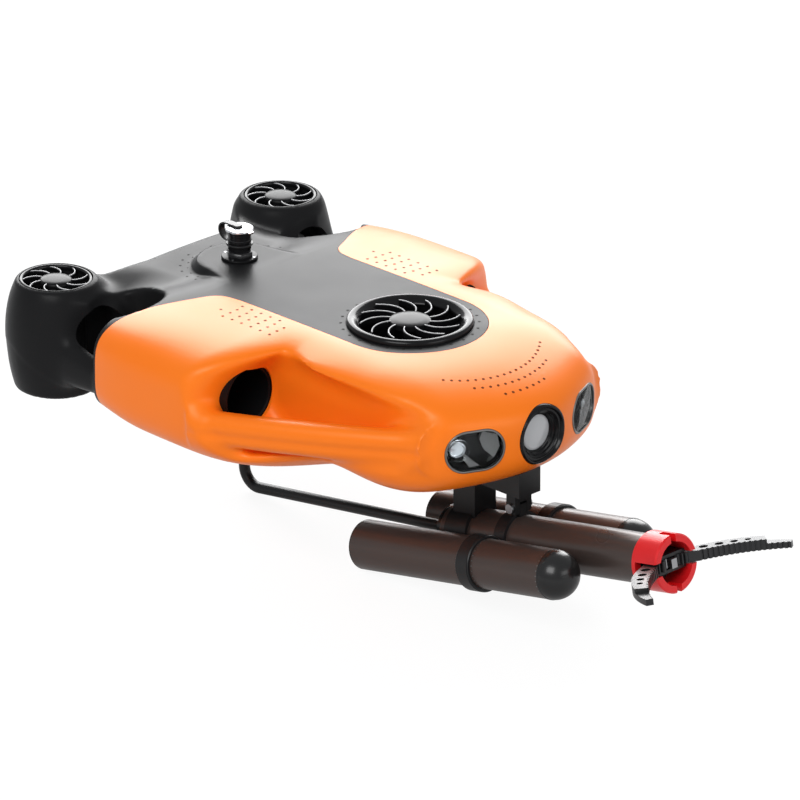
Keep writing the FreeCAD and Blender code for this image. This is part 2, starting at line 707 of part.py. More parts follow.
def blade(root_r, tip_r, pitch, chord):
    """One propeller blade, lofted through turned sections from the hub to the tip."""
    wires = []
    for share in (0.0, 0.35, 0.7, 1.0):
        radius = root_r + (tip_r - root_r) * share
        lean = math.atan2(pitch, 2 * math.pi * radius)
        half = chord / 2 * (0.75 + 0.5 * share if share < 0.8 else 0.62)
        thick = s.blade_thick / 2 * (1 - 0.45 * share)
        corners = [Vector(radius, y * half, z * thick) for y, z in
                   ((-1, 0), (-0.4, 1), (0.4, 1), (1, 0), (0.4, -1), (-0.4, -1))]
        wire = Part.makePolygon(corners + corners[:1])
        wire.rotate(Vector(), X, math.degrees(lean))
        wires.append(wire)
    loft = Part.makeLoft(wires, True, True)
    if loft.Volume < 0:
        loft.reverse()
    return loft


def propeller(name, place, tip_r, hand):
    """A three-bladed propeller under its motor: hub, spinner and blades, bored for the shaft."""
    drop = -s.motor_tall - s.prop_gap
    low = drop - s.prop_tall
    nose = [Vector(0, 0, low - 4), Vector(s.prop_hub * 0.72, 0, low - 1.5), Vector(s.prop_hub, 0, low + 3)]
    edges = [Part.Arc(*nose).toShape(), Part.makeLine(nose[2], Vector(s.prop_hub, 0, drop)),
             Part.makeLine(Vector(s.prop_hub, 0, drop), Vector(0, 0, drop)),
             Part.makeLine(Vector(0, 0, drop), nose[0])]
    solid = Part.Face(Part.Wire(edges)).revolve(Vector(), Z, 360)
    pitch = tip_r * 1.3 * hand
    one = blade(s.prop_hub * 0.6, tip_r, pitch, tip_r * 0.52)
    one.translate(Vector(0, 0, drop - s.prop_tall * 0.55))
    for turn in (0, 120, 240):
        copy = one.copy()
        copy.rotate(Vector(), Z, turn)
        solid = solid.fuse(copy)
    bore = cylinder(s.shaft_r + s.shaft_run, s.prop_tall - 1.5, Vector(0, 0, drop - s.prop_tall + 1.5))
    return shaped(name, solid.cut(bore), place)


def build_front_thruster():
    """Duct, bezel with its guard, lower guard, motor and propeller of the front thruster."""
    top = at(z=s.bezel_z)
    turned("front_duct", top, [
        ("$front_r", "0"), ("$bezel_r", "0"), ("$bezel_r", "-$flange_thick"),
        ("$front_r + $duct_wall", "-$flange_thick"),
        ("$front_r + $duct_wall", "$hull_bottom - $bezel_z"), ("$front_r", "$hull_bottom - $bezel_z"),
    ])
    bezel = turned("front_guard", top, [
        ("$bezel_in", "0"), ("$bezel_r", "0"), ("$bezel_r", "1.5"), ("$bezel_top_r", "-$bezel_z", "-12"),
        ("$bezel_in + 2", "-$bezel_z"), ("$bezel_in", "-$bezel_z - 2"),
    ])
    spokes_and_hub(bezel, "$bezel_in", "$front_hub", "$front_spokes")
    guard("front_lower_guard", at(z=s.hull_bottom + s.guard_thick, turn=Rotation(X, 180)),
          "$front_r - $guard_gap", "$front_r - 3", "$front_hub", "$front_spokes")
    motor("front_motor", at(z=s.bezel_z))
    propeller("front_propeller", at(z=s.bezel_z), s.front_tip, 1)


def build_pods(tail, pod):
    """The two rear pods with their wings, guards, motors and propellers."""
    low = s.pod_top - s.pod_tall
    front = s.rim_x - s.rim_slant - s.rim_depth + 14
    length = front - s.pod_x
    wing = Part.makeBox(length, s.wing_thick, s.wing_tall,
                        Vector(s.pod_x, s.wing_y - s.wing_thick / 2, s.wing_z - s.wing_tall / 2))
    long_edges = [e for e in wing.Edges if abs(e.tangentAt(e.FirstParameter).x) > 0.9]
    wing = wing.makeFillet(s.wing_thick * 0.35, long_edges)
    bore = cylinder(s.pod_bore, s.pod_tall + 2, Vector(s.pod_x, s.pod_y, low - 1))
    seat_top = cylinder(s.pod_guard_r, 10, Vector(s.pod_x, s.pod_y, s.pod_top - s.guard_thick))
    casing = pod.fuse(wing).cut(bore).cut(seat_top)
    for name, side in SIDES:
        shaped("pod_" + name, biggest(mirrored(casing, side).cut(tail)))
        spot = dict(x=s.pod_x, y=side * s.pod_y)
        guard("pod_guard_" + name, at(z=s.pod_top - s.guard_thick, **spot), "$pod_guard_r - $guard_gap",
              "$pod_bore", "$pod_hub", "$pod_spokes")
        motor("pod_motor_" + name, at(z=s.pod_top - s.guard_thick, **spot))
        propeller("pod_propeller_" + name, at(z=s.pod_top - s.guard_thick, **spot), s.pod_tip, side)


def build_side_thrusters():
    """The two side ducts with their rear guards, motors and propellers; each motor faces forward."""
    for name, side in SIDES:
        forward = Rotation(Y, -90)
        rear = at(s.side_rear + s.guard_thick + 1, side * s.side_y, s.recess_z, turn=forward)
        duct = turned("side_duct_" + name, rear, [
            ("$side_r", "$guard_thick + 1"), ("$side_r + $duct_wall", "$guard_thick + 1"),
            ("$side_r + $duct_wall", "$side_rear - $side_front + $guard_thick + 1"),
            ("$side_r + 1", "$side_rear - $side_front + $guard_thick + 1"),
            ("$side_r", "$side_rear - $side_front + $guard_thick + 2"),
        ])
        spokes_and_hub(duct, "$side_r", "$motor_r", "$pod_spokes")
        motor("side_motor_" + name, rear)
        propeller("side_propeller_" + name, rear, s.side_r - 1.2, -side)


# ---------------------------------------------------------------- camera, lamps and connector

def build_eyes():
    """Camera bezel, lens and barrel, and the two lamps."""
    front = at(s.eye_front, 0, s.eye_z, turn=Rotation(Y, 90))
    turned("camera_bezel", front, [
        ("$eye_r - 2", "0"), ("$eye_r", "-1.5"), ("$eye_r", "-$eye_long"), ("$lens_r + 1", "-$eye_long"),
        ("$lens_r + 1", "-$lens_back - 3"), ("$lens_r + 4", "-$lens_back - 3"), ("$lens_r + 6", "-5"),
        ("$eye_r - 3.5", "-5"), ("$eye_r - 3", "0"),
    ])
    turned("camera_barrel", front, [
        ("$lens_r - 2.5", "-$lens_back - $lens_thick"), ("$lens_r + 1", "-$lens_back - $lens_thick"),
        ("$lens_r + 1", "-$eye_long"), ("0", "-$eye_long"), ("0", "-$eye_long + 6"), ("$lens_r - 2.5", "-$eye_long + 6"),
    ])
    turned("camera_lens", front, [
        ("0", "-$lens_back - $lens_thick"), ("$lens_r + 1", "-$lens_back - $lens_thick"),
        ("$lens_r + 1", "-$lens_back - 3"), ("$lens_r", "-$lens_back - 3"), ("$lens_r", "-$lens_back"), ("0", "-$lens_back"),
    ])
    for name, side in SIDES:
        place = HULL * lamp_place(side)
        back = -s.lamp_deep
        outer = stadium(s.lamp_wide, s.lamp_tall, back, s.lamp_out)
        inner = stadium(s.lamp_wide - 2 * s.lamp_rim, s.lamp_tall - 2 * s.lamp_rim, back + s.lamp_rim, s.lamp_out)
        pane = stadium(s.lamp_wide - 2 * s.lamp_rim, s.lamp_tall - 2 * s.lamp_rim,
                       s.lamp_out - s.glass_thick - 1, s.lamp_out - 1)
        deep = s.lamp_out - s.glass_thick - 1 - (back + s.lamp_rim)
        block = stadium(s.lamp_wide - 2 * s.lamp_rim, s.lamp_tall - 2 * s.lamp_rim, back + s.lamp_rim,
                        s.lamp_out - s.glass_thick - 1)
        for centre in (-1, 1):
            spot = Vector(back + s.lamp_rim + 2, centre * (s.lamp_wide - s.lamp_tall) / 2, 0)
            cone = Part.makeCone(3.5, s.lamp_tall / 2 - s.lamp_rim - 1, deep, spot, X)
            block = block.cut(cone)
        shaped("lamp_bezel_" + name, outer.cut(inner), place)
        shaped("lamp_window_" + name, pane, place)
        shaped("lamp_reflector_" + name, block, place)


def build_connector():
    """The tether connector on its ledge: flange with hexagon, socket, dust cap and strap."""
    base = at(s.ledge_x, 0, s.ledge_z)
    body = new_body("connector_base", base)
    pad(body, new_sketch(body, "XY_Plane", circles=[("0", "0", "$plug_flange_r"), ("0", "0", "$plug_r")]),
        "$plug_flange")
    hexagon = [(f"$plug_hex / 2 / cos(30) * cos({a})", f"$plug_hex / 2 / cos(30) * sin({a})")
               for a in range(0, 360, 60)]
    pad(body, new_sketch(body, "XY_Plane", [hexagon], [("0", "0", "$plug_r")]), "$plug_flange + $plug_hex_tall")
    turned("connector_socket", base, [
        ("0", "0"), ("$plug_r", "0"), ("$plug_r", "$plug_tall - 1"), ("$plug_r - 1", "$plug_tall"),
        ("$plug_bore", "$plug_tall"), ("$plug_bore", "$plug_tall - 8"), ("0", "$plug_tall - 8"),
    ])
    top = s.plug_flange + s.plug_hex_tall + s.strap_thick + 2 * s.seat_gap
    cap = at(s.ledge_x, 0, s.ledge_z + top)
    body = turned("connector_cap", cap, [
        ("$plug_r + $seat_gap", "0"), ("$cap_r", "0"), ("$cap_r", "$cap_body"), ("$cap_top_r", "$cap_body"),
        ("$cap_top_r", "$cap_body + $cap_plate"), ("0", "$cap_body + $cap_plate"), ("0", "$cap_body"),
        ("$plug_r + $seat_gap", "$cap_body"),
    ])
    tab = [("$cap_top_r - 2", "-2.5"), ("$cap_top_r + 3", "-2.5"), ("$cap_top_r + 3", "2.5"), ("$cap_top_r - 2", "2.5")]
    pad(body, new_sketch(body, "XY_Plane", [tab], lift="$cap_body"), "$cap_plate")
    shaped("cap_strap", strap_solid())


def strap_solid():
    """The dust cap's strap: an eye round the socket, and a loop that rises behind it to the cap."""
    low = s.ledge_z + s.plug_flange + s.plug_hex_tall + s.seat_gap
    high = low + s.strap_thick + s.seat_gap + s.cap_body + s.cap_plate + s.seat_gap
    near, far = s.ledge_x - s.cap_r, s.ledge_x - s.strap_reach
    t = s.strap_thick
    def loop(grow):
        rise = (high + t - low) / 2
        middle = low + rise
        return [Vector(near, 0, low + grow), Vector(far + rise, 0, low + grow),
                Vector(far + grow, 0, middle), Vector(far + rise, 0, high + t - grow),
                Vector(s.ledge_x - 2, 0, high + t - grow)]
    outside, inside = loop(0), loop(t)
    edges = [
        Part.makeLine(outside[0], outside[1]), Part.Arc(outside[1], outside[2], outside[3]).toShape(),
        Part.makeLine(outside[3], outside[4]), Part.makeLine(outside[4], inside[4]),
        Part.makeLine(inside[4], inside[3]), Part.Arc(inside[3], inside[2], inside[1]).toShape(),
        Part.makeLine(inside[1], inside[0]), Part.makeLine(inside[0], outside[0]),
    ]
    band = Part.Face(Part.Wire(edges)).extrude(Y * s.strap_wide)
    band.translate(Y * (-s.strap_wide / 2))
    eye = cylinder(s.cap_r + 1.5, t, Vector(s.ledge_x, 0, low))
    hole = cylinder(s.plug_r + s.seat_gap, 4 * t, Vector(s.ledge_x, 0, low - t))
    button = cylinder(s.strap_wide / 2 + 1, t, Vector(s.ledge_x - 2, 0, high))
    return band.fuse([eye, button]).cut(hole)


def build_inside():
    """Battery pack and electronics bay between the side ducts."""
    middle = s.hull_bottom + s.wall + s.bay_lift
    for name, low, tall in (("battery_pack", middle, s.battery_tall),
                            ("electronics_bay", middle + s.battery_tall, s.bay_tall)):
        box = doc.addObject("Part::Box", name + "_block")
        bound(box, "Length", "$bay_long")
        bound(box, "Width", "$bay_wide")
        bound(box, "Height", "$battery_tall" if name == "battery_pack" else "$bay_tall")
        box.Placement = Placement(Vector(s.bay_front - s.bay_long, -s.bay_wide / 2, low), Rotation())
        rounded = doc.addObject("Part::Fillet", name)
        rounded.Label = name
        rounded.Base = box
        doc.recompute()
        upright = [i for i, e in enumerate(box.Shape.Edges, start=1) if abs(e.tangentAt(0).z) > 0.9]
        rounded.Edges = [(i, s.bay_round, s.bay_round) for i in upright]
        rounded.Placement = HULL


# ---------------------------------------------------------------- arm

def build_arm_mount(hull):
    """Hangers under the nose, their pins and screws, and the stay rod."""
    arm_in_hull = HULL.inverse() * ARM
    clamp = arm_in_hull.multVec(Vector(s.hanger_u, 0, 0))
    top = s.hull_bottom + s.nose_rise + 30
    block = Part.makeBox(s.hanger_long, s.hanger_wide, top - clamp.z,
                         Vector(clamp.x - s.hanger_long / 2, -s.hanger_wide / 2, clamp.z))
    ring = placed(cylinder(s.tube_r + s.band_thick, s.hanger_long, Vector(-s.hanger_long / 2, 0, 0), X),
                  arm_in_hull * Placement(Vector(s.hanger_u, 0, 0), Rotation()))
    tube = placed(cylinder(s.tube_r, 600, Vector(-300, 0, 0), X), arm_in_hull)
    plate_low = s.hull_bottom - s.pad_thick
    plate = Part.makeBox(s.fork_x - clamp.x + s.hanger_long, s.hanger_wide, top - plate_low,
                         Vector(clamp.x - s.hanger_long / 2, -s.hanger_wide / 2, plate_low))
    eye = cylinder(s.eye_r + s.seat_gap, s.eye_long + 2, Vector(s.eye_front - s.eye_long - 1, 0, s.eye_z), X)
    rear = block.fuse([ring, plate]).cut(hull).cut(tube).cut(eye)
    yoke_u = arm_in_hull.multVec(Vector(s.band_u, 0, 0))
    fork_low = yoke_u.z + s.tube_r + s.band_thick + 1
    return rear, clamp, tube, fork_low, yoke_u, plate_low


def build_arm(hull):
    """The arm: tube, end cap, motor, floats, yoke, hangers, stay and gripper."""
    rear, clamp, tube, fork_low, yoke_u, plate_low = build_arm_mount(hull)
    shaped("arm_hanger", biggest(rear))
    lug_top = yoke_u.z + s.tube_r + s.band_thick + 8
    fork = Part.makeBox(s.fork_long, s.fork_wide, plate_low - fork_low,
                        Vector(yoke_u.x - s.fork_long / 2, -s.fork_wide / 2, fork_low))
    slot = Part.makeBox(s.fork_long + 2, s.fork_slot, lug_top + 2 - fork_low,
                        Vector(yoke_u.x - s.fork_long / 2 - 1, -s.fork_slot / 2, fork_low))
    pin_z = (fork_low + lug_top) / 2 + 1
    pin_hole = cylinder(s.fork_pin_r, 60, Vector(yoke_u.x, -30, pin_z), Y)
    shaped("arm_fork", fork.cut(slot).cut(pin_hole))
    pin = cylinder(s.fork_pin_r, s.fork_wide + 4, Vector(yoke_u.x, -s.fork_wide / 2 - 2, pin_z), Y)
    heads = [cylinder(s.fork_pin_r + 1.6, 2, Vector(yoke_u.x, side * (s.fork_wide / 2 + 1) - 1, pin_z), Y)
             for _, side in SIDES]
    shaped("fork_pin", pin.fuse(heads))
    lug = Part.makeBox(s.fork_long, s.fork_slot - 2 * s.seat_gap, lug_top - yoke_u.z - s.tube_r,
                       Vector(yoke_u.x - s.fork_long / 2, -s.fork_slot / 2 + s.seat_gap, yoke_u.z + s.tube_r))
    build_yoke(lug.cut(pin_hole).cut(tube))
    build_stay(hull)
    build_tubes()


def build_yoke(lug):
    """One moulding that clamps the arm tube and both float tubes, with the lug that the fork holds."""
    half = s.band_wide / 2
    rings, bores = [], []
    for y, z in ((0, 0), (s.float_y, -s.float_drop), (-s.float_y, -s.float_drop)):
        base = Vector(s.band_u - half, y, z)
        rings.append(cylinder(s.tube_r + s.band_thick, s.band_wide, base, X))
        bores.append(cylinder(s.tube_r, 3 * s.band_wide, base - X * s.band_wide, X))
    web = Part.makeBox(s.band_wide, 2 * s.float_y, 8, Vector(s.band_u - half, -s.float_y, -s.float_drop - 1))
    moulding = rings[0].fuse(rings[1:] + [web])
    for bore in bores:
        moulding = moulding.cut(bore)
    lug_in_arm = placed(lug, (HULL.inverse() * ARM).inverse())
    shaped("float_yoke", moulding.fuse(lug_in_arm), ARM)


def build_stay(hull):
    """The bent rod that props the arm's rear end against the keel, and its foot plate."""
    arm_in_hull = HULL.inverse() * ARM
    corner = Vector(s.stay_x, 0, s.stay_r - s.floor_drop - s.stay_sink)
    head = arm_in_hull.multVec(Vector(-s.cap_rim - 2, 0, 0))
    along = (head - corner).normalize()
    turn = math.acos(along.z)
    back = s.stay_bend / math.tan(turn / 2)
    lift = s.stay_bend * (1 / math.sin(turn / 2) - 1)
    top = Vector(s.stay_x, 0, s.hull_bottom + 20)
    start, end = corner + Z * back, corner + along * back
    middle = corner + (Z + along).normalize() * lift
    path = Part.Wire([Part.makeLine(top, start), Part.Arc(start, middle, end).toShape(), Part.makeLine(end, head)])
    section = Part.Wire([Part.makeCircle(s.stay_r, top, Z)])
    rod = path.makePipeShell([section], True, False)
    plate = Part.makeBox(26, 20, s.pad_thick + 20, Vector(s.stay_x - 13, -10, s.hull_bottom - s.pad_thick))
    cap = placed(cylinder(s.tube_r, 40, Vector(-s.cap_rim - 3, 0, 0), X), arm_in_hull)
    shaped("stay_rod", rod.fuse(plate).cut(hull).cut(cap))


def build_tubes():
    """Arm tube with its cap and gripper motor, and the two float tubes with their ends."""
    along = Rotation(Y, 90)
    turned("arm_tube", at(frame=ARM, turn=along), [
        ("$tube_r - $tube_wall", "0"), ("$tube_r", "0"), ("$tube_r", "$arm_long"),
        ("$tube_r - $tube_wall", "$arm_long"),
    ])
    turned("arm_cap", at(frame=ARM, turn=along), [
        ("0", "-$cap_rim - 3"), ("$tube_r - 4", "-$cap_rim - 3"), ("$tube_r", "-$cap_rim"), ("$tube_r", "0"),
        ("$tube_r - $tube_wall", "0"), ("$tube_r - $tube_wall", "$cap_deep"), ("0", "$cap_deep"),
    ])
    for name, side in SIDES:
        place = at(0, side * s.float_y, -s.float_drop, ARM, along)
        turned("float_tube_" + name, place, [
            ("$tube_r - $tube_wall", "$float_rear"), ("$tube_r", "$float_rear"), ("$tube_r", "$float_front"),
            ("$tube_r - $tube_wall", "$float_front"),
        ])
        turned("float_dome_" + name, place, [
            ("0", "$float_front - $cap_deep"), ("$tube_r - $tube_wall", "$float_front - $cap_deep"),
            ("$tube_r - $tube_wall", "$float_front"), ("$tube_r", "$float_front"),
            ("0", "$float_front + $tube_r", "-$tube_r"),
        ])
        turned("float_cap_" + name, place, [
            ("0", "$float_rear - $cap_rim - 2"), ("$tube_r - 5", "$float_rear - $cap_rim - 2"),
            ("$tube_r", "$float_rear - $cap_rim + 2"), ("$tube_r", "$float_rear"),
            ("$tube_r - $tube_wall", "$float_rear"), ("$tube_r - $tube_wall", "$float_rear + $cap_deep"),
            ("0", "$float_rear + $cap_deep"),
        ])


# ---------------------------------------------------------------- gripper

def tooth_face(radius, half_angle_at):
    """The outline of one gear tooth about the X axis, as points from root to tip and back."""
    root, tip = radius - 1.2 * s.module, radius + 0.9 * s.module
    radii = [root + (tip - root) * i / 4 for i in range(5)]
    right = [(r, -half_angle_at(r)) for r in radii]
    left = [(r, half_angle_at(r)) for r in reversed(radii)]
    return [Vector(r * math.cos(a), r * math.sin(a), 0) for r, a in right + left]


def gear_sector(radius, first, last):
    """Gear teeth with involute flanks, standing on their root circle, from tooth first to tooth last."""
    base = radius * math.cos(math.radians(20))
    half_at_pitch = math.pi / (2 * s.teeth) - s.backlash / (4 * radius)

    def involute(r):
        share = max(r / base, 1.0)
        roll = math.sqrt(share * share - 1)
        return roll - math.atan(roll)

    def half_angle(r):
        return half_at_pitch + involute(radius) - involute(r)

    teeth = []
    for i in range(first, last + 1):
        points = tooth_face(radius, half_angle)
        wire = Part.makePolygon(points + [points[0]])
        face = Part.Face(wire)
        face.rotate(Vector(), Z, i * 360 / s.teeth)
        teeth.append(face.extrude(Z * s.jaw_thick))
    return teeth


def jaw_solid():
    """The port jaw when closed: gear root at the origin, reaching forward, toothed inside."""
    pitch_r = s.module * s.teeth / 2
    inner = s.jaw_gap - s.pivot_v
    tall = s.jaw_thick
    root = cylinder(pitch_r - 1.2 * s.module + 0.05, tall, Vector())
    long = s.jaw_long
    corners = [Vector(2, -3.5, 0), Vector(16, inner + 6.5, 0), Vector(long * 0.5, inner + 8.5, 0),
               Vector(long - 2, inner, 0), Vector(long, inner + 5, 0), Vector(long * 0.55, 9.5, 0),
               Vector(14, 7.5, 0), Vector(2, 5.2, 0)]
    inner_arc = Part.Arc(corners[1], corners[2], corners[3]).toShape()
    outer_arc = Part.Arc(corners[4], corners[5], corners[6]).toShape()
    edges = [Part.makeLine(corners[0], corners[1]), inner_arc, Part.makeLine(corners[3], corners[4]), outer_arc,
             Part.makeLine(corners[6], corners[7]), Part.makeLine(corners[7], corners[0])]
    jaw = Part.Face(Part.Wire(edges)).extrude(Z * tall).fuse(root)
    pieces = gear_sector(pitch_r, 5, 9)
    jaw = jaw.fuse(pieces)
    grooves = []
    count = 17
    for i in range(count):
        where = inner_arc.FirstParameter + (inner_arc.LastParameter - inner_arc.FirstParameter) * (i + 0.5) / count
        spot = inner_arc.valueAt(where)
        tangent = inner_arc.tangentAt(where)
        groove = Part.makeBox(1.7, 2.6, tall, Vector(-0.85, -1.3, 0))
        groove.rotate(Vector(), Z, math.degrees(math.atan2(tangent.y, tangent.x)))
        groove.translate(spot)
        grooves.append(groove)
    jaw = jaw.cut(grooves)
    for share, radius in ((0.24, 3.4), (0.38, 3.3), (0.51, 2.9), (0.63, 2.4)):
        where = outer_arc.LastParameter + (outer_arc.FirstParameter - outer_arc.LastParameter) * (share - 0.16) / 0.84
        spot = outer_arc.valueAt(where)
        hole = cylinder(radius, tall, Vector(long * share, (spot.y + inner + 8) / 2, 0))
        jaw = jaw.cut(hole)
    thin = Part.makeBox(long, 40, tall * 0.4, Vector(long * 0.78, inner - 5, tall * 0.6))
    jaw = jaw.cut(thin).cut(cylinder(s.pin_r + s.shaft_run, tall, Vector()))
    jaw.translate(Z * (-tall / 2))
    return biggest(jaw)


def rack_solid():
    """The rack between the jaws: trapezoid teeth on both sides, and a bore for the lead screw."""
    pitch_r = s.module * s.teeth / 2
    line = s.pivot_v - pitch_r
    root, tip = line - 1.2 * s.module, line + 0.9 * s.module
    tall = s.jaw_thick - 1
    body = Part.makeBox(s.rack_front - s.rack_rear, 2 * root, tall, Vector(s.rack_rear, -root, -tall / 2))
    pitch = math.pi * s.module
    slope = math.tan(math.radians(20))
    half_line = pitch / 4 - s.backlash / 4
    shift = pitch_r * math.radians(s.jaw_open + 6 * 360 / s.teeth - 270)
    teeth = []
    for side in (1, -1):
        for i in range(-3, 3):
            centre = s.pivot_u + (i + 0.5) * pitch + shift
            if centre - 2.5 < s.rack_rear or centre + 2.5 > s.rack_front:
                continue
            wide, narrow = half_line + (line - root) * slope, half_line - (tip - line) * slope
            points = [(centre - wide, root - 0.2), (centre - narrow, tip), (centre + narrow, tip),
                      (centre + wide, root - 0.2)]
            tooth = prism([(x, side * y) for x, y in points], -tall / 2, tall / 2)
            teeth.append(tooth)
    rack = body.fuse(teeth)
    stem = cylinder(root + 0.8, 24, Vector(s.rack_rear - 20, 0, 0), X)
    bore = cylinder(s.screw_r + s.shaft_run, 46, Vector(s.rack_rear - 30, 0, 0), X)
    return rack.fuse(stem).cut(bore)


def build_gripper():
    """Collar, cheek frame, rack, jaws, pins, lead screw and gripper motor."""
    tall = s.jaw_thick
    side_slot = Part.makeBox(s.slot_deep + 1, 3 * s.collar_r, s.jaw_slot,
                             Vector(s.collar_long - s.slot_deep, -1.5 * s.collar_r, -s.jaw_slot / 2))
    top_slot = Part.makeBox(s.slot_deep * 0.6, s.rib_slot, 3 * s.collar_r,
                            Vector(s.collar_long - s.slot_deep * 0.6 + 0.1, -s.rib_slot / 2, -1.5 * s.collar_r))
    collar = cylinder(s.collar_r, s.collar_long, Vector(), X)
    front_edge = [e for e in collar.Edges if e.BoundBox.XMin > s.collar_long - 1e-6 and e.Closed]
    collar = collar.makeChamfer(1.2, front_edge)
    collar = collar.cut(cylinder(s.collar_in, s.collar_long + 2, Vector(-1, 0, 0), X))
    shaped("gripper_collar", collar.cut(side_slot).cut(top_slot), GRIP)
    plate_low = tall / 2 + s.cheek_gap
    end = s.pivot_u + 5
    disc = cylinder(s.collar_in, 3, Vector(), X)
    frame = disc
    for side in (1, -1):
        low = plate_low if side > 0 else -plate_low - s.cheek_thick
        cheek = Part.makeBox(end, 2 * s.pivot_v + 8, s.cheek_thick, Vector(0, -s.pivot_v - 4, low))
        frame = frame.fuse(cheek.common(cylinder(s.collar_in, end, Vector(), X)))
    frame = frame.cut(cylinder(s.rack_run, 8, Vector(-5, 0, 0), X))
    reach = 2 * plate_low + s.cheek_thick
    pins = [cylinder(s.pin_r, reach, Vector(s.pivot_u, side * s.pivot_v, -reach / 2)) for _, side in SIDES]
    shaped("gripper_frame", frame.fuse(pins), GRIP)
    jaw = jaw_solid()
    for name, side in SIDES:
        place = GRIP * Placement(Vector(s.pivot_u, side * s.pivot_v, 0), Rotation(Z, side * s.jaw_open))
        shaped("jaw_" + name, mirrored(jaw, side), place)
    shaped("gripper_rack", rack_solid(), GRIP)
    turned("gripper_motor", at(-30, 0, 0, GRIP, Rotation(Y, 90)), [
        ("0", "-46"), ("$tube_r - $tube_wall", "-46"), ("$tube_r - $tube_wall", "0"), ("$screw_r", "0"),
        ("$screw_r", "36"), ("0", "36"),
    ])


# ---------------------------------------------------------------- build and export

def check(pieces):
    """Stops if anything in the document failed, or a piece is not a valid closed shape."""
    for thing in doc.Objects:
        if {"Invalid", "Error"} & set(thing.State):
            raise RuntimeError(f"{thing.Name} failed: {thing.State}")
    for piece in pieces:
        shape = piece.Shape
        if shape.isNull() or not shape.isValid() or not shape.Solids or shape.Volume <= 0:
            raise RuntimeError(f"{piece.Label} has no valid solid")


def main():
    """Builds every sub-part and writes one STEP file for each."""
    hull, tail, pod = build_hull()
    build_front_thruster()
    build_pods(tail, pod)
    build_side_thrusters()
    build_eyes()
    build_connector()
    build_inside()
    build_arm(hull)
    build_gripper()
    doc.recompute()
    kinds = ("PartDesign::Body", "Part::Feature", "Part::Fillet")
    pieces = [o for o in doc.Objects if o.TypeId in kinds and not o.Label.endswith(("_block", "Origin"))]
    check(pieces)
    os.makedirs("parts", exist_ok=True)
    for piece in pieces:
        piece.Shape.exportStep(f"parts/{piece.Label}.step")
        print(piece.Label, len(piece.Shape.Solids), round(piece.Shape.Volume))


main()
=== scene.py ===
"""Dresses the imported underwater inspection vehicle: moulded hull, thrusters, lamps, connector and arm.

Every shape is worked out in the hull frame, in millimetres: X forward, Y to port and Z up, from the axis of
the front thruster at the level of its bezel. The Frame class turns that into the row frame in metres.
"""

from __future__ import annotations

import json
import logging
import math
from dataclasses import dataclass, field
from enum import Enum
from typing import Callable, Iterable, Sequence

import bmesh
import bpy
import numpy as np
from mathutils import Matrix, Vector

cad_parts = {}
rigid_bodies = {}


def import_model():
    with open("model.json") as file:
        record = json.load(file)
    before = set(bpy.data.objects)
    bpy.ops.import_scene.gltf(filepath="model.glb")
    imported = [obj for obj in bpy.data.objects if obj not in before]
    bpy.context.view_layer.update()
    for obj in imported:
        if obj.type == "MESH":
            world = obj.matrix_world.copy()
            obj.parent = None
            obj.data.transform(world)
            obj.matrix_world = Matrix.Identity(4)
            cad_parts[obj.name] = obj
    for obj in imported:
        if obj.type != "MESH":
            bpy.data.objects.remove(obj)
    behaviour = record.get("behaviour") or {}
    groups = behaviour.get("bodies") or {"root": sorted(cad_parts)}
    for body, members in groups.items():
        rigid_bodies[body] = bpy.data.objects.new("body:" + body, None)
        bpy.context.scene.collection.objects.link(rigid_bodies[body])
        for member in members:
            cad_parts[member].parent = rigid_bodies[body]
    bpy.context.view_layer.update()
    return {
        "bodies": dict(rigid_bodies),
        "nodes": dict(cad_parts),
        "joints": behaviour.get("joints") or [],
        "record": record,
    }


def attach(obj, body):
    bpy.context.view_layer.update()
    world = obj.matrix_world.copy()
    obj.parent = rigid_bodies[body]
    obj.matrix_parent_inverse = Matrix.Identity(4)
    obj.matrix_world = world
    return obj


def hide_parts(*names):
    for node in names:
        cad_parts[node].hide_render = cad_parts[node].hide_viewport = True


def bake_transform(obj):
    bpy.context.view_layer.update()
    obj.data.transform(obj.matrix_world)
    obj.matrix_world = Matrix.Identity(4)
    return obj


log = logging.getLogger("vehicle")
MM = 0.001
SIDES: tuple[tuple[str, int], ...] = (("port", 1), ("starboard", -1))
Points = np.ndarray
Field = Callable[[Points], np.ndarray]


class Body(str, Enum):
    """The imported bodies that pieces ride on."""

    HULL = "vehicle"
    CAP = "dust_cap"


# ------------------------------------------------------------------ frames


@dataclass(frozen=True)
class Frame:
    """Where the hull frame and the arm frame stand in the row frame, in millimetres."""

    shift_x: float = -14.0
    shift_z: float = 188.5
    arm_x: float = 49.0
    arm_z: float = -153.6
    arm_pitch: float = 10.5

    def row(self, points: Points) -> Points:
        """Turns hull points into row points.

        Args:
            points: Rows of X, Y and Z in the hull frame, in millimetres.

        Returns:
            The same points in the row frame, in metres.
        """
        return (np.asarray(points, float) + (self.shift_x, 0.0, self.shift_z)) * MM

    def arm(self, points: Points) -> Points:
        """Turns arm points into hull points.

        Args:
            points: Rows along the arm, to port and upwards, in millimetres.

        Returns:
            The same points in the hull frame, in millimetres.
        """
        a = math.radians(self.arm_pitch)
        p = np.asarray(points, float).reshape(-1, 3)
        x = self.arm_x + p[:, 0] * math.cos(a) - p[:, 2] * math.sin(a)
        z = self.arm_z + p[:, 0] * math.sin(a) + p[:, 2] * math.cos(a)
        return np.stack([x, p[:, 1], z], 1)


FRAME = Frame()


# ------------------------------------------------------------------ mesh tools


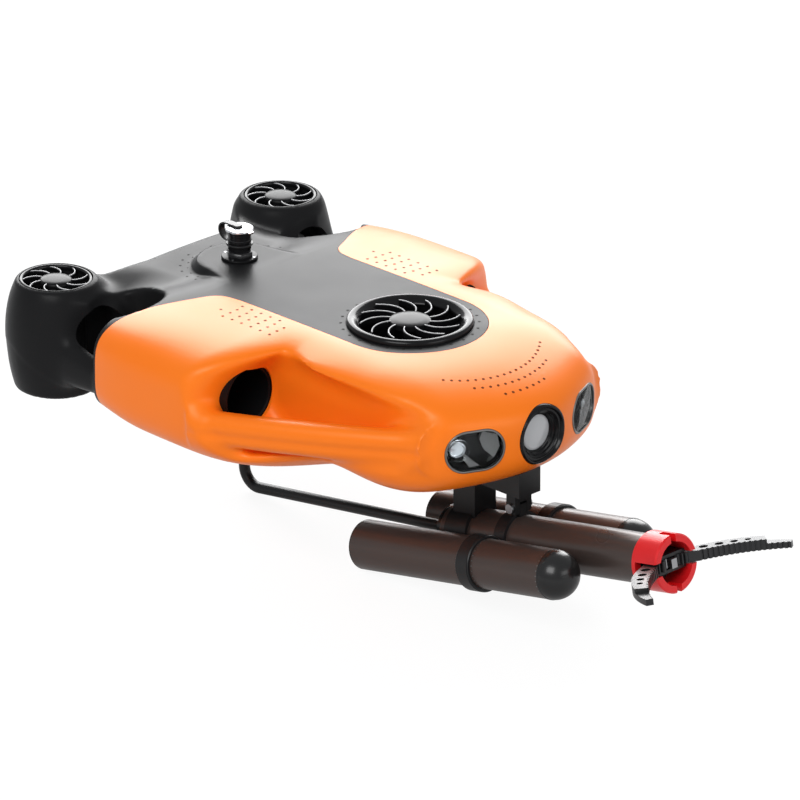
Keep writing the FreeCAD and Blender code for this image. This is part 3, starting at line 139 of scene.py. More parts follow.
def make_piece(name: str, points: Points, faces: Iterable[Sequence[int]],
               smooth: float = 35.0) -> bpy.types.Object:
    """Makes a mesh object from hull points.

    Args:
        name: The piece's name.
        points: Vertices in the hull frame, in millimetres.
        faces: Vertex numbers of each face.
        smooth: Edges sharper than this many degrees stay sharp.

    Returns:
        The new object, with its place in its mesh.
    """
    mesh = bpy.data.meshes.new(name)
    mesh.from_pydata(FRAME.row(points).tolist(), [], [tuple(int(i) for i in f) for f in faces])
    obj = bpy.data.objects.new(name, mesh)
    bpy.context.scene.collection.objects.link(obj)
    shade(obj, smooth)
    return obj


def shade(obj: bpy.types.Object, angle: float = 35.0) -> None:
    """Shades a mesh smooth, except across its sharp edges.

    Args:
        obj: The piece.
        angle: Edges sharper than this many degrees stay sharp.
    """
    mesh = obj.data
    mesh.polygons.foreach_set("use_smooth", [True] * len(mesh.polygons))
    mesh.set_sharp_from_angle(angle=math.radians(angle))
    mesh.update()


def outward(obj: bpy.types.Object) -> None:
    """Merges doubles and points every face outwards.

    Args:
        obj: The piece, a closed mesh.
    """
    bm = bmesh.new()
    bm.from_mesh(obj.data)
    bmesh.ops.remove_doubles(bm, verts=bm.verts, dist=1e-6)
    bmesh.ops.recalc_face_normals(bm, faces=bm.faces)
    bm.to_mesh(obj.data)
    bm.free()


def bake_modifiers(obj: bpy.types.Object) -> None:
    """Replaces an object's mesh by its evaluated one and drops its modifiers.

    Args:
        obj: The piece.
    """
    bpy.context.view_layer.update()
    mesh = bpy.data.meshes.new_from_object(obj.evaluated_get(bpy.context.evaluated_depsgraph_get()))
    obj.modifiers.clear()
    old = obj.data
    obj.data = mesh
    bpy.data.meshes.remove(old)


def cut(obj: bpy.types.Object, tool: bpy.types.Object, operation: str = "DIFFERENCE") -> None:
    """Cuts a closed mesh by another and removes the tool.

    Args:
        obj: The piece that is cut.
        tool: The closed mesh that cuts it.
        operation: DIFFERENCE, INTERSECT or UNION.
    """
    modifier = obj.modifiers.new("cut", "BOOLEAN")
    modifier.object = tool
    modifier.operation = operation
    modifier.solver = "MANIFOLD"
    bake_modifiers(obj)
    bpy.data.objects.remove(tool, do_unlink=True)


def copy_of(obj: bpy.types.Object, name: str) -> bpy.types.Object:
    """Copies an object with its mesh.

    Args:
        obj: The piece.
        name: The copy's name.

    Returns:
        The copy, with its own mesh.
    """
    new = bpy.data.objects.new(name, obj.data.copy())
    new.data.name = name
    bpy.context.scene.collection.objects.link(new)
    return new


def extrude(name: str, outline: Sequence[tuple[float, float]], low: float, high: float,
            place: Matrix | None = None) -> bpy.types.Object:
    """An upright prism over a plan outline.

    Args:
        name: The prism's name.
        outline: X and Y of each corner, anticlockwise.
        low: Bottom in millimetres.
        high: Top in millimetres.
        place: Where the prism's own frame stands in the hull frame.

    Returns:
        The closed prism.
    """
    n = len(outline)
    points = np.array([(x, y, z) for z in (low, high) for x, y in outline], float)
    if place is not None:
        points = np.array([place @ Vector(p) for p in points])
    faces = [tuple(range(n))[::-1], tuple(range(n, 2 * n))]
    faces += [(i, (i + 1) % n, n + (i + 1) % n, n + i) for i in range(n)]
    obj = make_piece(name, points, faces)
    outward(obj)
    return obj


def lathe(name: str, profile: Sequence[tuple[float, float]], place: Matrix, steps: int = 64,
          smooth: float = 35.0) -> bpy.types.Object:
    """A turned piece.

    Args:
        name: The piece's name.
        profile: Radius and height of each corner, as a closed outline.
        place: Where the turned piece's own frame stands in the hull frame.
        steps: Facets round the axis.
        smooth: Edges sharper than this many degrees stay sharp.

    Returns:
        The closed piece.
    """
    n = len(profile)
    points, faces = [], []
    for i in range(steps):
        a = 2 * math.pi * i / steps
        points += [place @ Vector((r * math.cos(a), r * math.sin(a), z)) for r, z in profile]
        for j in range(n):
            k, m = (j + 1) % n, ((i + 1) % steps) * n
            if profile[j][0] < 1e-6 and profile[k][0] < 1e-6:
                continue
            faces.append((i * n + j, m + j, m + k, i * n + k))
    obj = make_piece(name, np.array(points), faces, smooth)
    outward(obj)
    shade(obj, smooth)
    return obj


def slot_outline(width: float, height: float, steps: int = 20) -> list[tuple[float, float]]:
    """A rounded slot's outline.

    Args:
        width: Its length, along the first axis.
        height: Its width.
        steps: Facets of each round end.

    Returns:
        X and Y of each corner, anticlockwise.
    """
    half, r = (width - height) / 2, height / 2
    turn = [math.pi * (i / steps - 0.5) for i in range(steps + 1)]
    right = [(half + r * math.cos(a), r * math.sin(a)) for a in turn]
    return right + [(-x, -y) for x, y in right]


def slot_sweep(name: str, profile: Sequence[tuple[float, float]], width: float, height: float, place: Matrix,
               lift: Callable[[np.ndarray, np.ndarray], np.ndarray] | None = None, ring: bool = True,
               smooth: float = 35.0) -> bpy.types.Object:
    """A piece whose section follows a rounded slot.

    Args:
        name: The piece's name.
        profile: Distance in from the slot's edge and height of each corner.
        width: Slot length.
        height: Slot width.
        place: Where the slot's own frame stands in the hull frame.
        lift: Height added at each X and Y, so that the piece follows a curved face.
        ring: Whether the profile closes on itself; otherwise both ends are capped.
        smooth: Edges sharper than this many degrees stay sharp.

    Returns:
        The closed piece.
    """
    loops, faces = [], []
    for inset, z in profile:
        flat = np.array(slot_outline(width - 2 * inset, height - 2 * inset))
        rise = lift(flat[:, 0], flat[:, 1]) if lift else np.zeros(len(flat))
        loops.append(np.column_stack([flat, z + rise]))
    n, m = len(loops), len(loops[0])
    for j in range(n if ring else n - 1):
        a, b = j * m, (j + 1) % n * m
        faces += [(a + i, a + (i + 1) % m, b + (i + 1) % m, b + i) for i in range(m)]
    if not ring:
        faces += [tuple(range(m)), tuple(range((n - 1) * m, n * m))[::-1]]
    points = np.array([place @ Vector(q) for q in np.concatenate(loops)])
    obj = make_piece(name, points, faces, smooth)
    outward(obj)
    shade(obj, smooth)
    return obj


def sweep(name: str, line: Points, section: Sequence[tuple[float, float]], up: Sequence[float],
          place: Matrix | None = None) -> bpy.types.Object:
    """A bar whose section follows a line.

    Args:
        name: The piece's name.
        line: Points along it.
        section: Sideways and upward offsets of the section's corners, in order.
        up: Direction that stays upwards.
        place: Where the line's own frame stands in the hull frame.

    Returns:
        The closed bar.
    """
    line = np.asarray(line, float)
    ahead = np.gradient(line, axis=0)
    ahead /= np.linalg.norm(ahead, axis=1)[:, None]
    side = np.cross(np.asarray(up, float), ahead)
    side /= np.linalg.norm(side, axis=1)[:, None]
    top = np.cross(ahead, side)
    flat = np.array(section, float)
    points = (line[:, None] + side[:, None] * flat[None, :, :1] + top[:, None] * flat[None, :, 1:]).reshape(-1, 3)
    if place is not None:
        points = np.array([place @ Vector(q) for q in points])
    m, n = len(flat), len(line)
    faces = [tuple(range(m)), tuple(range((n - 1) * m, n * m))[::-1]]
    faces += [(j * m + i, j * m + (i + 1) % m, (j + 1) * m + (i + 1) % m, (j + 1) * m + i)
              for j in range(n - 1) for i in range(m)]
    obj = make_piece(name, points, faces)
    outward(obj)
    shade(obj, 40)
    return obj


def axes(origin: Sequence[float], x: Sequence[float], z: Sequence[float]) -> Matrix:
    """A right-handed frame.

    Args:
        origin: Where it stands.
        x: A direction in its XZ plane, on the side of X.
        z: The direction of its Z.

    Returns:
        The frame as a matrix.
    """
    zz = Vector(z).normalized()
    xx = (Vector(x) - zz * Vector(x).dot(zz)).normalized()
    yy = zz.cross(xx)
    return Matrix.Translation(Vector(origin)) @ Matrix((xx, yy, zz)).transposed().to_4x4()


def finish_piece(obj: bpy.types.Object, body: str, material: bpy.types.Material,
                 replaces: Sequence[str] = ()) -> bpy.types.Object:
    """Gives a piece its material and its body, and hides the nodes that it stands for.

    Args:
        obj: The piece.
        body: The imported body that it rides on.
        material: Its finish.
        replaces: CAD nodes that it stands for.

    Returns:
        The piece.
    """
    obj.data.materials.clear()
    obj.data.materials.append(material)
    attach(obj, body)
    if replaces:
        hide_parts(*replaces)
    log.info("%s: %d faces on %s", obj.name, len(obj.data.polygons), body)
    return obj


# ------------------------------------------------------------------ fields


def smooth_min(a: np.ndarray, b: np.ndarray, k: float) -> np.ndarray:
    """The lesser of two distances, blended where they meet.

    Args:
        a: One distance at each point.
        b: The other.
        k: Width of the blend in millimetres.

    Returns:
        The blended distance.
    """
    h = np.clip(0.5 + 0.5 * (b - a) / k, 0, 1)
    return b * (1 - h) + a * h - k * h * (1 - h)


def smooth_max(a: np.ndarray, b: np.ndarray, k: float) -> np.ndarray:
    """The greater of two distances, blended over k millimetres."""
    return -smooth_min(-a, -b, k)


def ease(t: np.ndarray) -> np.ndarray:
    """A share from 0 to 1 that starts and ends gently, held at both ends."""
    t = np.clip(t, 0, 1)
    return t * t * (3 - 2 * t)


def cone_run(p: Points, a: Sequence[float], b: Sequence[float], ra: float, rb: float) -> np.ndarray:
    """Distance to a run of spheres, or of circles if the points have two columns.

    Args:
        p: The points.
        a: Centre of the first.
        b: Centre of the last.
        ra: Radius at the first.
        rb: Radius at the last.

    Returns:
        The distance at each point, negative inside.
    """
    a, b = np.asarray(a, float), np.asarray(b, float)
    t = np.clip(((p - a) @ (b - a)) / ((b - a) @ (b - a)), 0, 1)
    return np.linalg.norm(p - a - t[:, None] * (b - a), axis=1) - (ra + (rb - ra) * t)


def leaves(inside: Callable[[np.ndarray], np.ndarray], low: float, high: float, count: int,
           rounds: int) -> np.ndarray:
    """Finds by halving where each of many lines leaves a form.

    Args:
        inside: Whether the point of each line at the given place lies inside.
        low: A place that lies inside.
        high: A place that lies outside.
        count: How many lines there are.
        rounds: Times that the span is halved.

    Returns:
        The place along each line.
    """
    near, far = np.full(count, low), np.full(count, high)
    for _ in range(rounds):
        mid = (near + far) / 2
        within = inside(mid)
        near, far = np.where(within, mid, near), np.where(within, far, mid)
    return near


def surface_net(function: Field, low: Sequence[float], high: Sequence[float],
                step: float) -> tuple[Points, Points]:
    """Meshes the zero surface of a field with one vertex in each cell that it crosses.

    Args:
        function: Distance at each point, negative inside.
        low: Lowest corner of the box that is searched, in millimetres.
        high: Highest corner.
        step: Cell size.

    Returns:
        Vertices and quads.
    """
    ticks = [np.arange(a, b + step, step) for a, b in zip(low, high)]
    shape = tuple(len(t) for t in ticks)
    values = np.empty(shape, np.float32)
    yz = np.stack(np.meshgrid(ticks[1], ticks[2], indexing="ij"), -1).reshape(-1, 2)
    for i, x in enumerate(ticks[0]):
        p = np.column_stack([np.full(len(yz), x), yz])
        values[i] = function(p).reshape(shape[1:])
    inside = values < 0

    # The cells that the surface crosses have corners on both sides.
    count = np.zeros(tuple(n - 1 for n in shape), int)
    for a in (0, 1):
        for b in (0, 1):
            for c in (0, 1):
                count += inside[a:shape[0] - 1 + a, b:shape[1] - 1 + b, c:shape[2] - 1 + c]
    cells = np.argwhere((count > 0) & (count < 8))
    number = -np.ones(count.shape, int)
    number[tuple(cells.T)] = np.arange(len(cells))

    # Each vertex is the middle of its cell's crossed edges, and each crossed edge gets a quad round it.
    total, hits = np.zeros((len(cells), 3)), np.zeros(len(cells))
    faces = []
    for axis in range(3):
        u, v = (axis + 1) % 3, (axis + 2) % 3
        unit = np.eye(3, dtype=int)[axis]
        for a in (0, 1):
            for b in (0, 1):
                start = cells + a * np.eye(3, dtype=int)[u] + b * np.eye(3, dtype=int)[v]
                f0, f1 = values[tuple(start.T)], values[tuple((start + unit).T)]
                cross = (f0 < 0) != (f1 < 0)
                t = f0[cross] / (f0[cross] - f1[cross])
                total[cross] += start[cross] + t[:, None] * unit
                hits[cross] += 1
        lead = tuple(slice(1, None) if k == axis else slice(None) for k in range(3))
        trail = tuple(slice(None, -1) if k == axis else slice(None) for k in range(3))
        edges = np.argwhere(inside[lead] != inside[trail])
        du, dv = np.eye(3, dtype=int)[u], np.eye(3, dtype=int)[v]
        keep = (edges[:, u] > 0) & (edges[:, u] < shape[u] - 1)
        edges = edges[keep & (edges[:, v] > 0) & (edges[:, v] < shape[v] - 1)]
        quad = np.stack([number[tuple((edges - d).T)] for d in (0 * du, du, du + dv, dv)], 1)
        flip = ~inside[tuple(edges.T)]
        quad[flip] = quad[flip][:, ::-1]
        faces.append(quad)
    points = np.asarray(low) + step * total / hits[:, None]
    return points, np.concatenate(faces)


def settle(points: Points, function: Field, step: float, rounds: int = 2) -> Points:
    """Moves mesh points onto the zero surface of their field.

    Args:
        points: Points near the surface.
        function: The field.
        step: Cell size, which limits each move.
        rounds: Times that the points are moved.

    Returns:
        The moved points.
    """
    nudge, least_slope, furthest = 0.2, 0.2, 0.5 * step
    for _ in range(rounds):
        value = function(points)
        slope = np.stack([(function(points + d) - value) / nudge for d in nudge * np.eye(3)], 1)
        size = np.maximum((slope ** 2).sum(1), least_slope)
        move = -(value / size)[:, None] * slope
        length = np.linalg.norm(move, axis=1)
        move *= np.minimum(1, furthest / np.maximum(length, 1e-9))[:, None]
        points = points + move
    return points


@dataclass(frozen=True)
class PodForm:
    """Sizes of a rear pod: a barrel that flares out where it meets the tail."""

    centre: tuple[float, float] = (-253.0, 116.0)
    top: float = -9.5
    low: float = -94.0
    radius: float = 37.0
    taper: float = 6.2
    taper_power: float = 2.2
    top_taper: float = 1.2
    edge: float = 3.0


@dataclass(frozen=True)
class WingForm:
    """Sizes of a lower wing. A pair is the value at the pod and its change towards the hull."""

    start: float = -250.0
    run: float = 76.0
    high: tuple[float, float] = (-38.0, -14.0)
    low: tuple[float, float] = (-80.0, 4.0)
    side: tuple[float, float] = (132.0, 4.0)
    thick: tuple[float, float] = (12.0, -4.5)
    power: float = 2.4
    scale: float = 9.0
    middle: float = -210.0
    half: float = 42.0


@dataclass(frozen=True)
class TailForm:
    """Sizes of the tail.

    Attributes:
        deck: Depth of the deck below the bezel.
        deck_edge: Blend along the deck's edge.
        rear_fall: How far the deck falls towards the rear, over rear_run (first X and length).
        corner_fall: How far it falls at each rear corner, over corner_side (first Y and length) and
            corner_rear (first X and length).
        ledge: Depth of the ledge's top and of its underside.
        ledge_slope: Slope of its side, and the scale that turns it back into a distance.
        ledge_edges: Blends at its rim, at its underside and where it meets the deck.
        ledge_rear: X and radius of the rear end of its plan; ledge_front, of the front end.
        edge_bow: Half width of the straight part of the rear edge, and the curvature beside it.
        core_side: Half width of the core, its slope along X and the X offset that it grows from.
        core_blend: Blend of the core's corners.
        arm_inner: X, Y and radius of the inner end of the arm to a pod; arm_outer, of the outer end.
        arm_blend: Blend of core and arm.
        wall: X behind which core and arms make the outline.
        bite: X, Y and radius of the hollow beside a pod.
        bite_edge: Blend of its edge.
        under: Level, rise, slope and depth of the arm's underside, which rises over under_run (first Y and
            length).
        under_edge: Blend of the underside's edge.
        skirt_pod: X, Y, Z and radius of the flare at the pod; skirt_hull, nearer the hull.
        joins: Blends with the skirts, the pods and the wings.
    """

    deck: float = 2.5
    deck_edge: float = 3.0
    rear_fall: float = 9.0
    rear_run: tuple[float, float] = (-140.0, 54.0)
    corner_fall: float = 11.0
    corner_side: tuple[float, float] = (46.0, 44.0)
    corner_rear: tuple[float, float] = (-176.0, 46.0)
    ledge: tuple[float, float] = (5.0, 30.0)
    ledge_slope: tuple[float, float] = (0.85, 0.76)
    ledge_edges: tuple[float, float, float] = (1.4, 2.0, 1.2)
    ledge_rear: tuple[float, float] = (-178.0, 31.0)
    ledge_front: tuple[float, float] = (-118.0, 44.0)
    edge_bow: tuple[float, float] = (8.0, 0.0006)
    core_side: tuple[float, float, float] = (84.0, 0.55, 215.0)
    core_blend: float = 14.0
    arm_inner: tuple[float, float, float] = (-214.0, 66.0, 25.0)
    arm_outer: tuple[float, float, float] = (-252.0, 112.0, 27.0)
    arm_blend: float = 16.0
    wall: float = -181.0
    bite: tuple[float, float, float] = (-196.0, 102.0, 30.0)
    bite_edge: float = 2.5
    under: tuple[float, float, float, float] = (46.0, 16.0, 0.9, 24.0)
    under_run: tuple[float, float] = (66.0, 30.0)
    under_edge: float = 10.0
    skirt_pod: tuple[float, float, float, float] = (-252.0, 114.0, -42.0, 30.0)
    skirt_hull: tuple[float, float, float, float] = (-232.0, 92.0, -50.0, 27.0)
    joins: tuple[float, float, float] = (10.0, 17.0, 8.0)


@dataclass(frozen=True)
class HullForm:
    """The moulded hull as a field: outline, section, side recesses, handles and tail.

    Sizes are millimetres in the hull frame. A blend is the width over which two forms run together.

    Attributes:
        outline: X and Y of the plan's port half, from the nose to the rear.
        power: How square the section is; the underside is rounder by lean around lean_x, over lean_wide, and
            lean_soft is the depth over which that sets in.
        nose_fall: How far the top falls at nose_x; nose_rise, how far the underside rises there.
        tail_fall: How far the top falls at tail_x; tail_rise, how far the underside rises there.
        nose_past: Most of the nose's share that counts beyond nose_x; tail_past, of the tail's beyond tail_x.
        scale: Most that the radius counts where the section's level is turned into a distance.
        recess_rear: X, Z and radius of a recess at its rear; recess_front, at its front.
        lip: Depth where the recess's lip starts to soften, the height over which it does, and the added blend.
        handle_rear: X, Y and Z of a handle's axis at its rear; handle_middle and handle_front likewise.
        handle_past: How far it runs on behind and ahead of those points.
        groove: Depth, drop below the axis, width and softness of the groove along a handle.
        join_x: X behind which the tail takes over.
        table: The outline's angles and radii, worked out once.
    """

    outline: tuple[tuple[float, float], ...] = (
        (138, 0), (123.5, 56.6), (101, 90), (48, 112), (0, 135), (-45, 153), (-110, 156.5), (-175, 151),
        (-250, 118), (-305, 72), (-330, 0))
    outline_steps: int = 24
    top: float = -4.0
    bottom: float = -100.0
    power: float = 4.0
    nose_fall: float = 13.0
    nose_rise: float = 9.0
    rise_start: float = 40.0
    nose_x: float = 138.0
    nose_past: float = 1.3
    tail_fall: float = 4.0
    tail_rise: float = 30.0
    fall_start: float = -130.0
    tail_x: float = -238.0
    tail_past: float = 1.22
    lean: float = 2.0
    lean_x: float = 14.0
    lean_wide: float = 46.0
    lean_soft: float = 12.0
    scale: float = 60.0
    recess_y: float = 87.0
    recess_rear: tuple[float, float, float] = (-31.0, -47.0, 30.0)
    recess_front: tuple[float, float, float] = (78.0, -47.0, 16.0)
    recess_blend: float = 14.0
    scoop_blend: float = 9.0
    lip: tuple[float, float, float] = (62.0, 36.0, 17.0)
    handle_rear: tuple[float, float, float] = (-55.0, 143.5, -61.0)
    handle_middle: tuple[float, float, float] = (31.0, 113.0, -55.0)
    handle_front: tuple[float, float, float] = (95.0, 83.0, -49.0)
    handle_past: tuple[float, float] = (12.0, 4.0)
    handle_widest: float = 144.8
    handle_thick: float = 9.8
    handle_tall: float = 12.5
    handle_power: float = 2.4
    handle_end: float = 1.0
    handle_blend: float = 8.0
    groove: tuple[float, float, float, float] = (1.5, 2.5, 3.2, 6.0)
    join_x: float = -150.0
    pod_form: PodForm = PodForm()
    wing_form: WingForm = WingForm()
    tail_form: TailForm = TailForm()
    table: dict = field(default_factory=dict, compare=False)

    def reach(self, x: np.ndarray, y: np.ndarray) -> np.ndarray:
        """Radius of the plan outline.

        Args:
            x: Forward place of each point.
            y: Sideways place of each point.

        Returns:
            The radius in the direction of each point.
        """
        if not self.table:
            port = np.array(self.outline, float)
            ring = np.concatenate([port, port[-2:0:-1] * (1, -1)])
            curve = closed_spline(ring, self.outline_steps)
            angle = np.arctan2(curve[:, 1], curve[:, 0])
            order = np.argsort(angle)
            self.table["angle"] = angle[order]
            self.table["reach"] = np.hypot(curve[:, 0], curve[:, 1])[order]
        return np.interp(np.arctan2(y, x), self.table["angle"], self.table["reach"], period=2 * math.pi)

    def skin(self, p: Points) -> np.ndarray:
        """Distance to the plain hull, before anything is cut or added.

        Args:
            p: The points.

        Returns:
            The distance at each point, negative inside.
        """
        x, y, z = p.T
        middle, half = (self.top + self.bottom) / 2, (self.top - self.bottom) / 2
        share = np.hypot(x, y) / self.reach(x, y)
        front = np.clip((x - self.rise_start) / (self.nose_x - self.rise_start), 0, self.nose_past) ** 2
        rear = np.clip((x - self.fall_start) / (self.tail_x - self.fall_start), 0, self.tail_past) ** 2
        above = half - self.nose_fall * front - self.tail_fall * rear
        below = half - self.nose_rise * front - self.tail_rise * rear
        lift = np.abs(z - middle) / np.where(z > middle, above, below)
        lean = np.exp(-((x - self.lean_x) / self.lean_wide) ** 2) * np.clip((middle - z) / self.lean_soft, 0, 1)
        power = self.power - self.lean * lean
        level = (share ** power + lift ** power) ** (1 / power)
        radius = np.sqrt(x * x + y * y + (z - middle) ** 2)
        return (level - 1) * np.minimum(radius, self.scale) * np.clip(0.45 + lift, 0.5, 1.0)

    def handle_line(self, x: np.ndarray) -> tuple[np.ndarray, np.ndarray, np.ndarray]:
        """The line that a handle follows.

        Args:
            x: Forward places along it.

        Returns:
            Its half width, height and plan slope at each place.
        """
        rows = np.array([self.handle_rear, self.handle_middle, self.handle_front])
        wide = np.polyfit(rows[:, 0], rows[:, 1], 2)
        tall = np.polyfit(rows[:, 0], rows[:, 2], 1)
        slope = np.polyval(np.polyder(wide), x)
        return np.polyval(wide, x), np.polyval(tall, x), slope

    def handle(self, p: Points) -> np.ndarray:
        """Distance to the two grab handles, each with a groove along its outer face.

        Args:
            p: The points.

        Returns:
            The distance at each point, negative inside.
        """
        x, y, z = p[:, 0], np.abs(p[:, 1]), p[:, 2]
        inside_x = np.clip(x, self.handle_rear[0] - self.handle_past[0],
                           self.handle_front[0] + self.handle_past[1])
        mid, level, slope = self.handle_line(inside_x)
        mid = np.minimum(mid, self.handle_widest)
        across = (y - mid) / np.sqrt(1 + slope * slope)
        deep, low, wide, soft = self.groove
        groove = deep * np.exp(-((z - level + low) / wide) ** 2) * np.clip(across / soft, 0, 1)
        power = self.handle_power
        flat = ((np.abs(across + groove) / self.handle_thick) ** power
                + (np.abs(z - level) / self.handle_tall) ** power)
        bar = (flat ** (1 / power) - 1) * self.handle_thick
        return np.maximum(bar, np.abs(x - inside_x) - self.handle_end)

    def recess(self, p: Points) -> np.ndarray:
        """Distance to the two side recesses."""
        a, b = self.recess_rear, self.recess_front
        side = cone_run(p[:, [0, 2]], a[:2], b[:2], a[2], b[2])
        return smooth_max(side, self.recess_y - np.abs(p[:, 1]), self.recess_blend)

    def pods(self, p: Points) -> np.ndarray:
        """Distance to the two rear pods.

        Args:
            p: The points.

        Returns:
            The distance at each point, negative inside.
        """
        pod, z = self.pod_form, p[:, 2]
        middle, half = (pod.top + pod.low) / 2, (pod.top - pod.low) / 2
        t = (z - middle) / half
        radius = pod.radius - pod.taper * np.abs(t) ** pod.taper_power - np.where(t > 0, pod.top_taper, 0) * t
        away = np.hypot(p[:, 0] - pod.centre[0], np.abs(p[:, 1]) - pod.centre[1])
        return smooth_max(away - radius, np.abs(z - middle) - half, pod.edge)

    def wings(self, p: Points) -> np.ndarray:
        """Distance to the lower wings that run from the hull's side to the pods.

        Args:
            p: The points.

        Returns:
            The distance at each point, negative inside.
        """
        wing = self.wing_form
        x, y, z = p[:, 0], np.abs(p[:, 1]), p[:, 2]
        t = np.clip((x - wing.start) / wing.run, 0, 1)
        share = ease(t)
        high, low = wing.high[0] + wing.high[1] * share, wing.low[0] + wing.low[1] * share
        thick = wing.thick[0] + wing.thick[1] * share
        level, tall = (high + low) / 2, (high - low) / 2
        across = np.abs(y - wing.side[0] - wing.side[1] * t) / thick
        flat = (across ** wing.power + (np.abs(z - level) / tall) ** wing.power) ** (1 / wing.power) - 1
        return np.maximum(flat * wing.scale, np.abs(x - wing.middle) - wing.half)

    def ledge(self, p: Points) -> np.ndarray:
        """Distance to the raised ledge that carries the tether connector.

        Args:
            p: The points.

        Returns:
            The distance at each point, negative inside.
        """
        tail, z = self.tail_form, p[:, 2]
        flat = np.column_stack([p[:, 0], np.abs(p[:, 1])])
        (rear, rear_r), (front, front_r) = tail.ledge_rear, tail.ledge_front
        plan = cone_run(flat, (rear, 0), (front, 0), rear_r, front_r)
        high, low = tail.ledge
        side = (plan + tail.ledge_slope[0] * (z + high)) * tail.ledge_slope[1]
        return smooth_max(smooth_max(side, z + high, tail.ledge_edges[0]), -z - low, tail.ledge_edges[1])

    def tail(self, p: Points) -> np.ndarray:
        """Distance to the tail: the rear of the hull, the pods and what joins them.

        Args:
            p: The points.

        Returns:
            The distance at each point, negative inside.
        """
        s = self.tail_form
        x, y, z = p[:, 0], np.abs(p[:, 1]), p[:, 2]
        rear = ease((s.rear_run[0] - x) / s.rear_run[1])
        corner = (ease((y - s.corner_side[0]) / s.corner_side[1])
                  * ease((s.corner_rear[0] - x) / s.corner_rear[1]))
        deck = smooth_max(self.skin(p), z + s.deck + s.rear_fall * rear + s.corner_fall * corner, s.deck_edge)
        deck = smooth_min(deck, self.ledge(p), s.ledge_edges[2])
        plan = np.column_stack([x, y])
        edge = self.tail_x + s.edge_bow[1] * np.maximum(y - s.edge_bow[0], 0) ** 2
        core = smooth_max(edge - x, y - (s.core_side[0] + s.core_side[1] * (x + s.core_side[2])), s.core_blend)
        arm = cone_run(plan, s.arm_inner[:2], s.arm_outer[:2], s.arm_inner[2], s.arm_outer[2])
        wall = np.minimum(smooth_min(core, arm, s.arm_blend), s.wall - x)
        bitten = smooth_max(wall, s.bite[2] - np.hypot(x - s.bite[0], y - s.bite[1]), s.bite_edge)
        share = np.clip((y - s.under_run[0]) / s.under_run[1], 0, 1)
        level, rise, slope, deep = s.under
        low_arm = smooth_max(bitten, -(z + level + rise * share) * slope - deep, s.under_edge)
        body = smooth_max(deck, np.where(x < s.wall, low_arm, bitten), s.deck_edge)
        near = np.column_stack([x, y, z])
        skirt = cone_run(near, s.skirt_pod[:3], s.skirt_hull[:3], s.skirt_pod[3], s.skirt_hull[3])
        joined = smooth_min(smooth_min(body, skirt, s.joins[0]), self.pods(p), s.joins[1])
        return smooth_min(joined, self.wings(p), s.joins[2])

    def whole(self, p: Points) -> np.ndarray:
        """Distance to the whole moulded body.

        Args:
            p: The points.

        Returns:
            The distance at each point, negative inside.
        """
        front = p[:, 0] > self.join_x
        out = np.empty(len(p))
        if front.any():
            q = p[front]
            low, run, more = self.lip
            high = np.clip((q[:, 2] + low) / run, 0, 1)
            skin = smooth_max(self.skin(q), -self.recess(q), self.scoop_blend + more * high)
            out[front] = smooth_min(skin, self.handle(q), self.handle_blend)
        if (~front).any():
            out[~front] = self.tail(p[~front])
        return out


def closed_spline(points: Points, steps: int) -> Points:
    """A smooth closed curve through points.

    Args:
        points: The points in order.
        steps: Samples from each point to the next.

    Returns:
        Points along the curve.
    """
    n = len(points)
    gap = np.linalg.norm(np.roll(points, -1, 0) - points, axis=1)
    before = np.roll(gap, 1)
    matrix, right = np.zeros((n, n)), np.zeros_like(points)
    for i in range(n):
        matrix[i, i] = 2 * (before[i] + gap[i])
        matrix[i, (i - 1) % n] += gap[i]
        matrix[i, (i + 1) % n] += before[i]
        right[i] = 3 * (gap[i] * (points[i] - points[i - 1]) / before[i]
                        + before[i] * (points[(i + 1) % n] - points[i]) / gap[i])
    slope = np.linalg.solve(matrix, right)
    rows = []
    for i in range(n):
        j = (i + 1) % n
        for s in np.arange(steps) / steps:
            rows.append((2 * s ** 3 - 3 * s ** 2 + 1) * points[i] + (s ** 3 - 2 * s ** 2 + s) * gap[i] * slope[i]
                        + (3 * s ** 2 - 2 * s ** 3) * points[j] + (s ** 3 - s ** 2) * gap[i] * slope[j])
    return np.array(rows)


# ------------------------------------------------------------------ finishes


def set_values(node: bpy.types.Node, **values: object) -> None:
    """Sets a node's inputs by name, with spaces written as underscores."""
    for key, value in values.items():
        node.inputs[key.replace("_", " ")].default_value = value


def add_node(tree: bpy.types.NodeTree, kind: str, inputs: dict[str | int, object] | None = None,
             **settings: object) -> bpy.types.Node:
    """Adds a node.

    Args:
        tree: The tree that it joins.
        kind: Its type.
        inputs: Values of its inputs, by name or number.
        settings: Its own settings, such as operation.

    Returns:
        The node.
    """
    node = tree.nodes.new(kind)
    for key, value in settings.items():
        setattr(node, key, value)
    for key, value in (inputs or {}).items():
        node.inputs[key].default_value = value
    return node


def wire(tree: bpy.types.NodeTree, *rows: tuple[bpy.types.Node, str | int, bpy.types.Node, str | int]) -> None:
    """Links nodes.

    Args:
        tree: The tree that holds them.
        rows: Source, its output, target and its input. Outputs and inputs go by name or number.
    """
    for source, output, target, entry in rows:
        tree.links.new(source.outputs[output], target.inputs[entry])


def add_sockets(tree: bpy.types.NodeTree, inputs: dict[str, tuple[str, object]], outputs: dict[str, str]) -> None:
    """Adds a node group's named inputs and outputs.

    Args:
        tree: The node group.
        inputs: Type and value of each input; None leaves the value as it is.
        outputs: Type of each output.
    """
    for name, (kind, value) in inputs.items():
        socket = tree.interface.new_socket(name, in_out="INPUT", socket_type="NodeSocket" + kind)
        if value is not None:
            socket.default_value = value
    for name, kind in outputs.items():
        tree.interface.new_socket(name, in_out="OUTPUT", socket_type="NodeSocket" + kind)


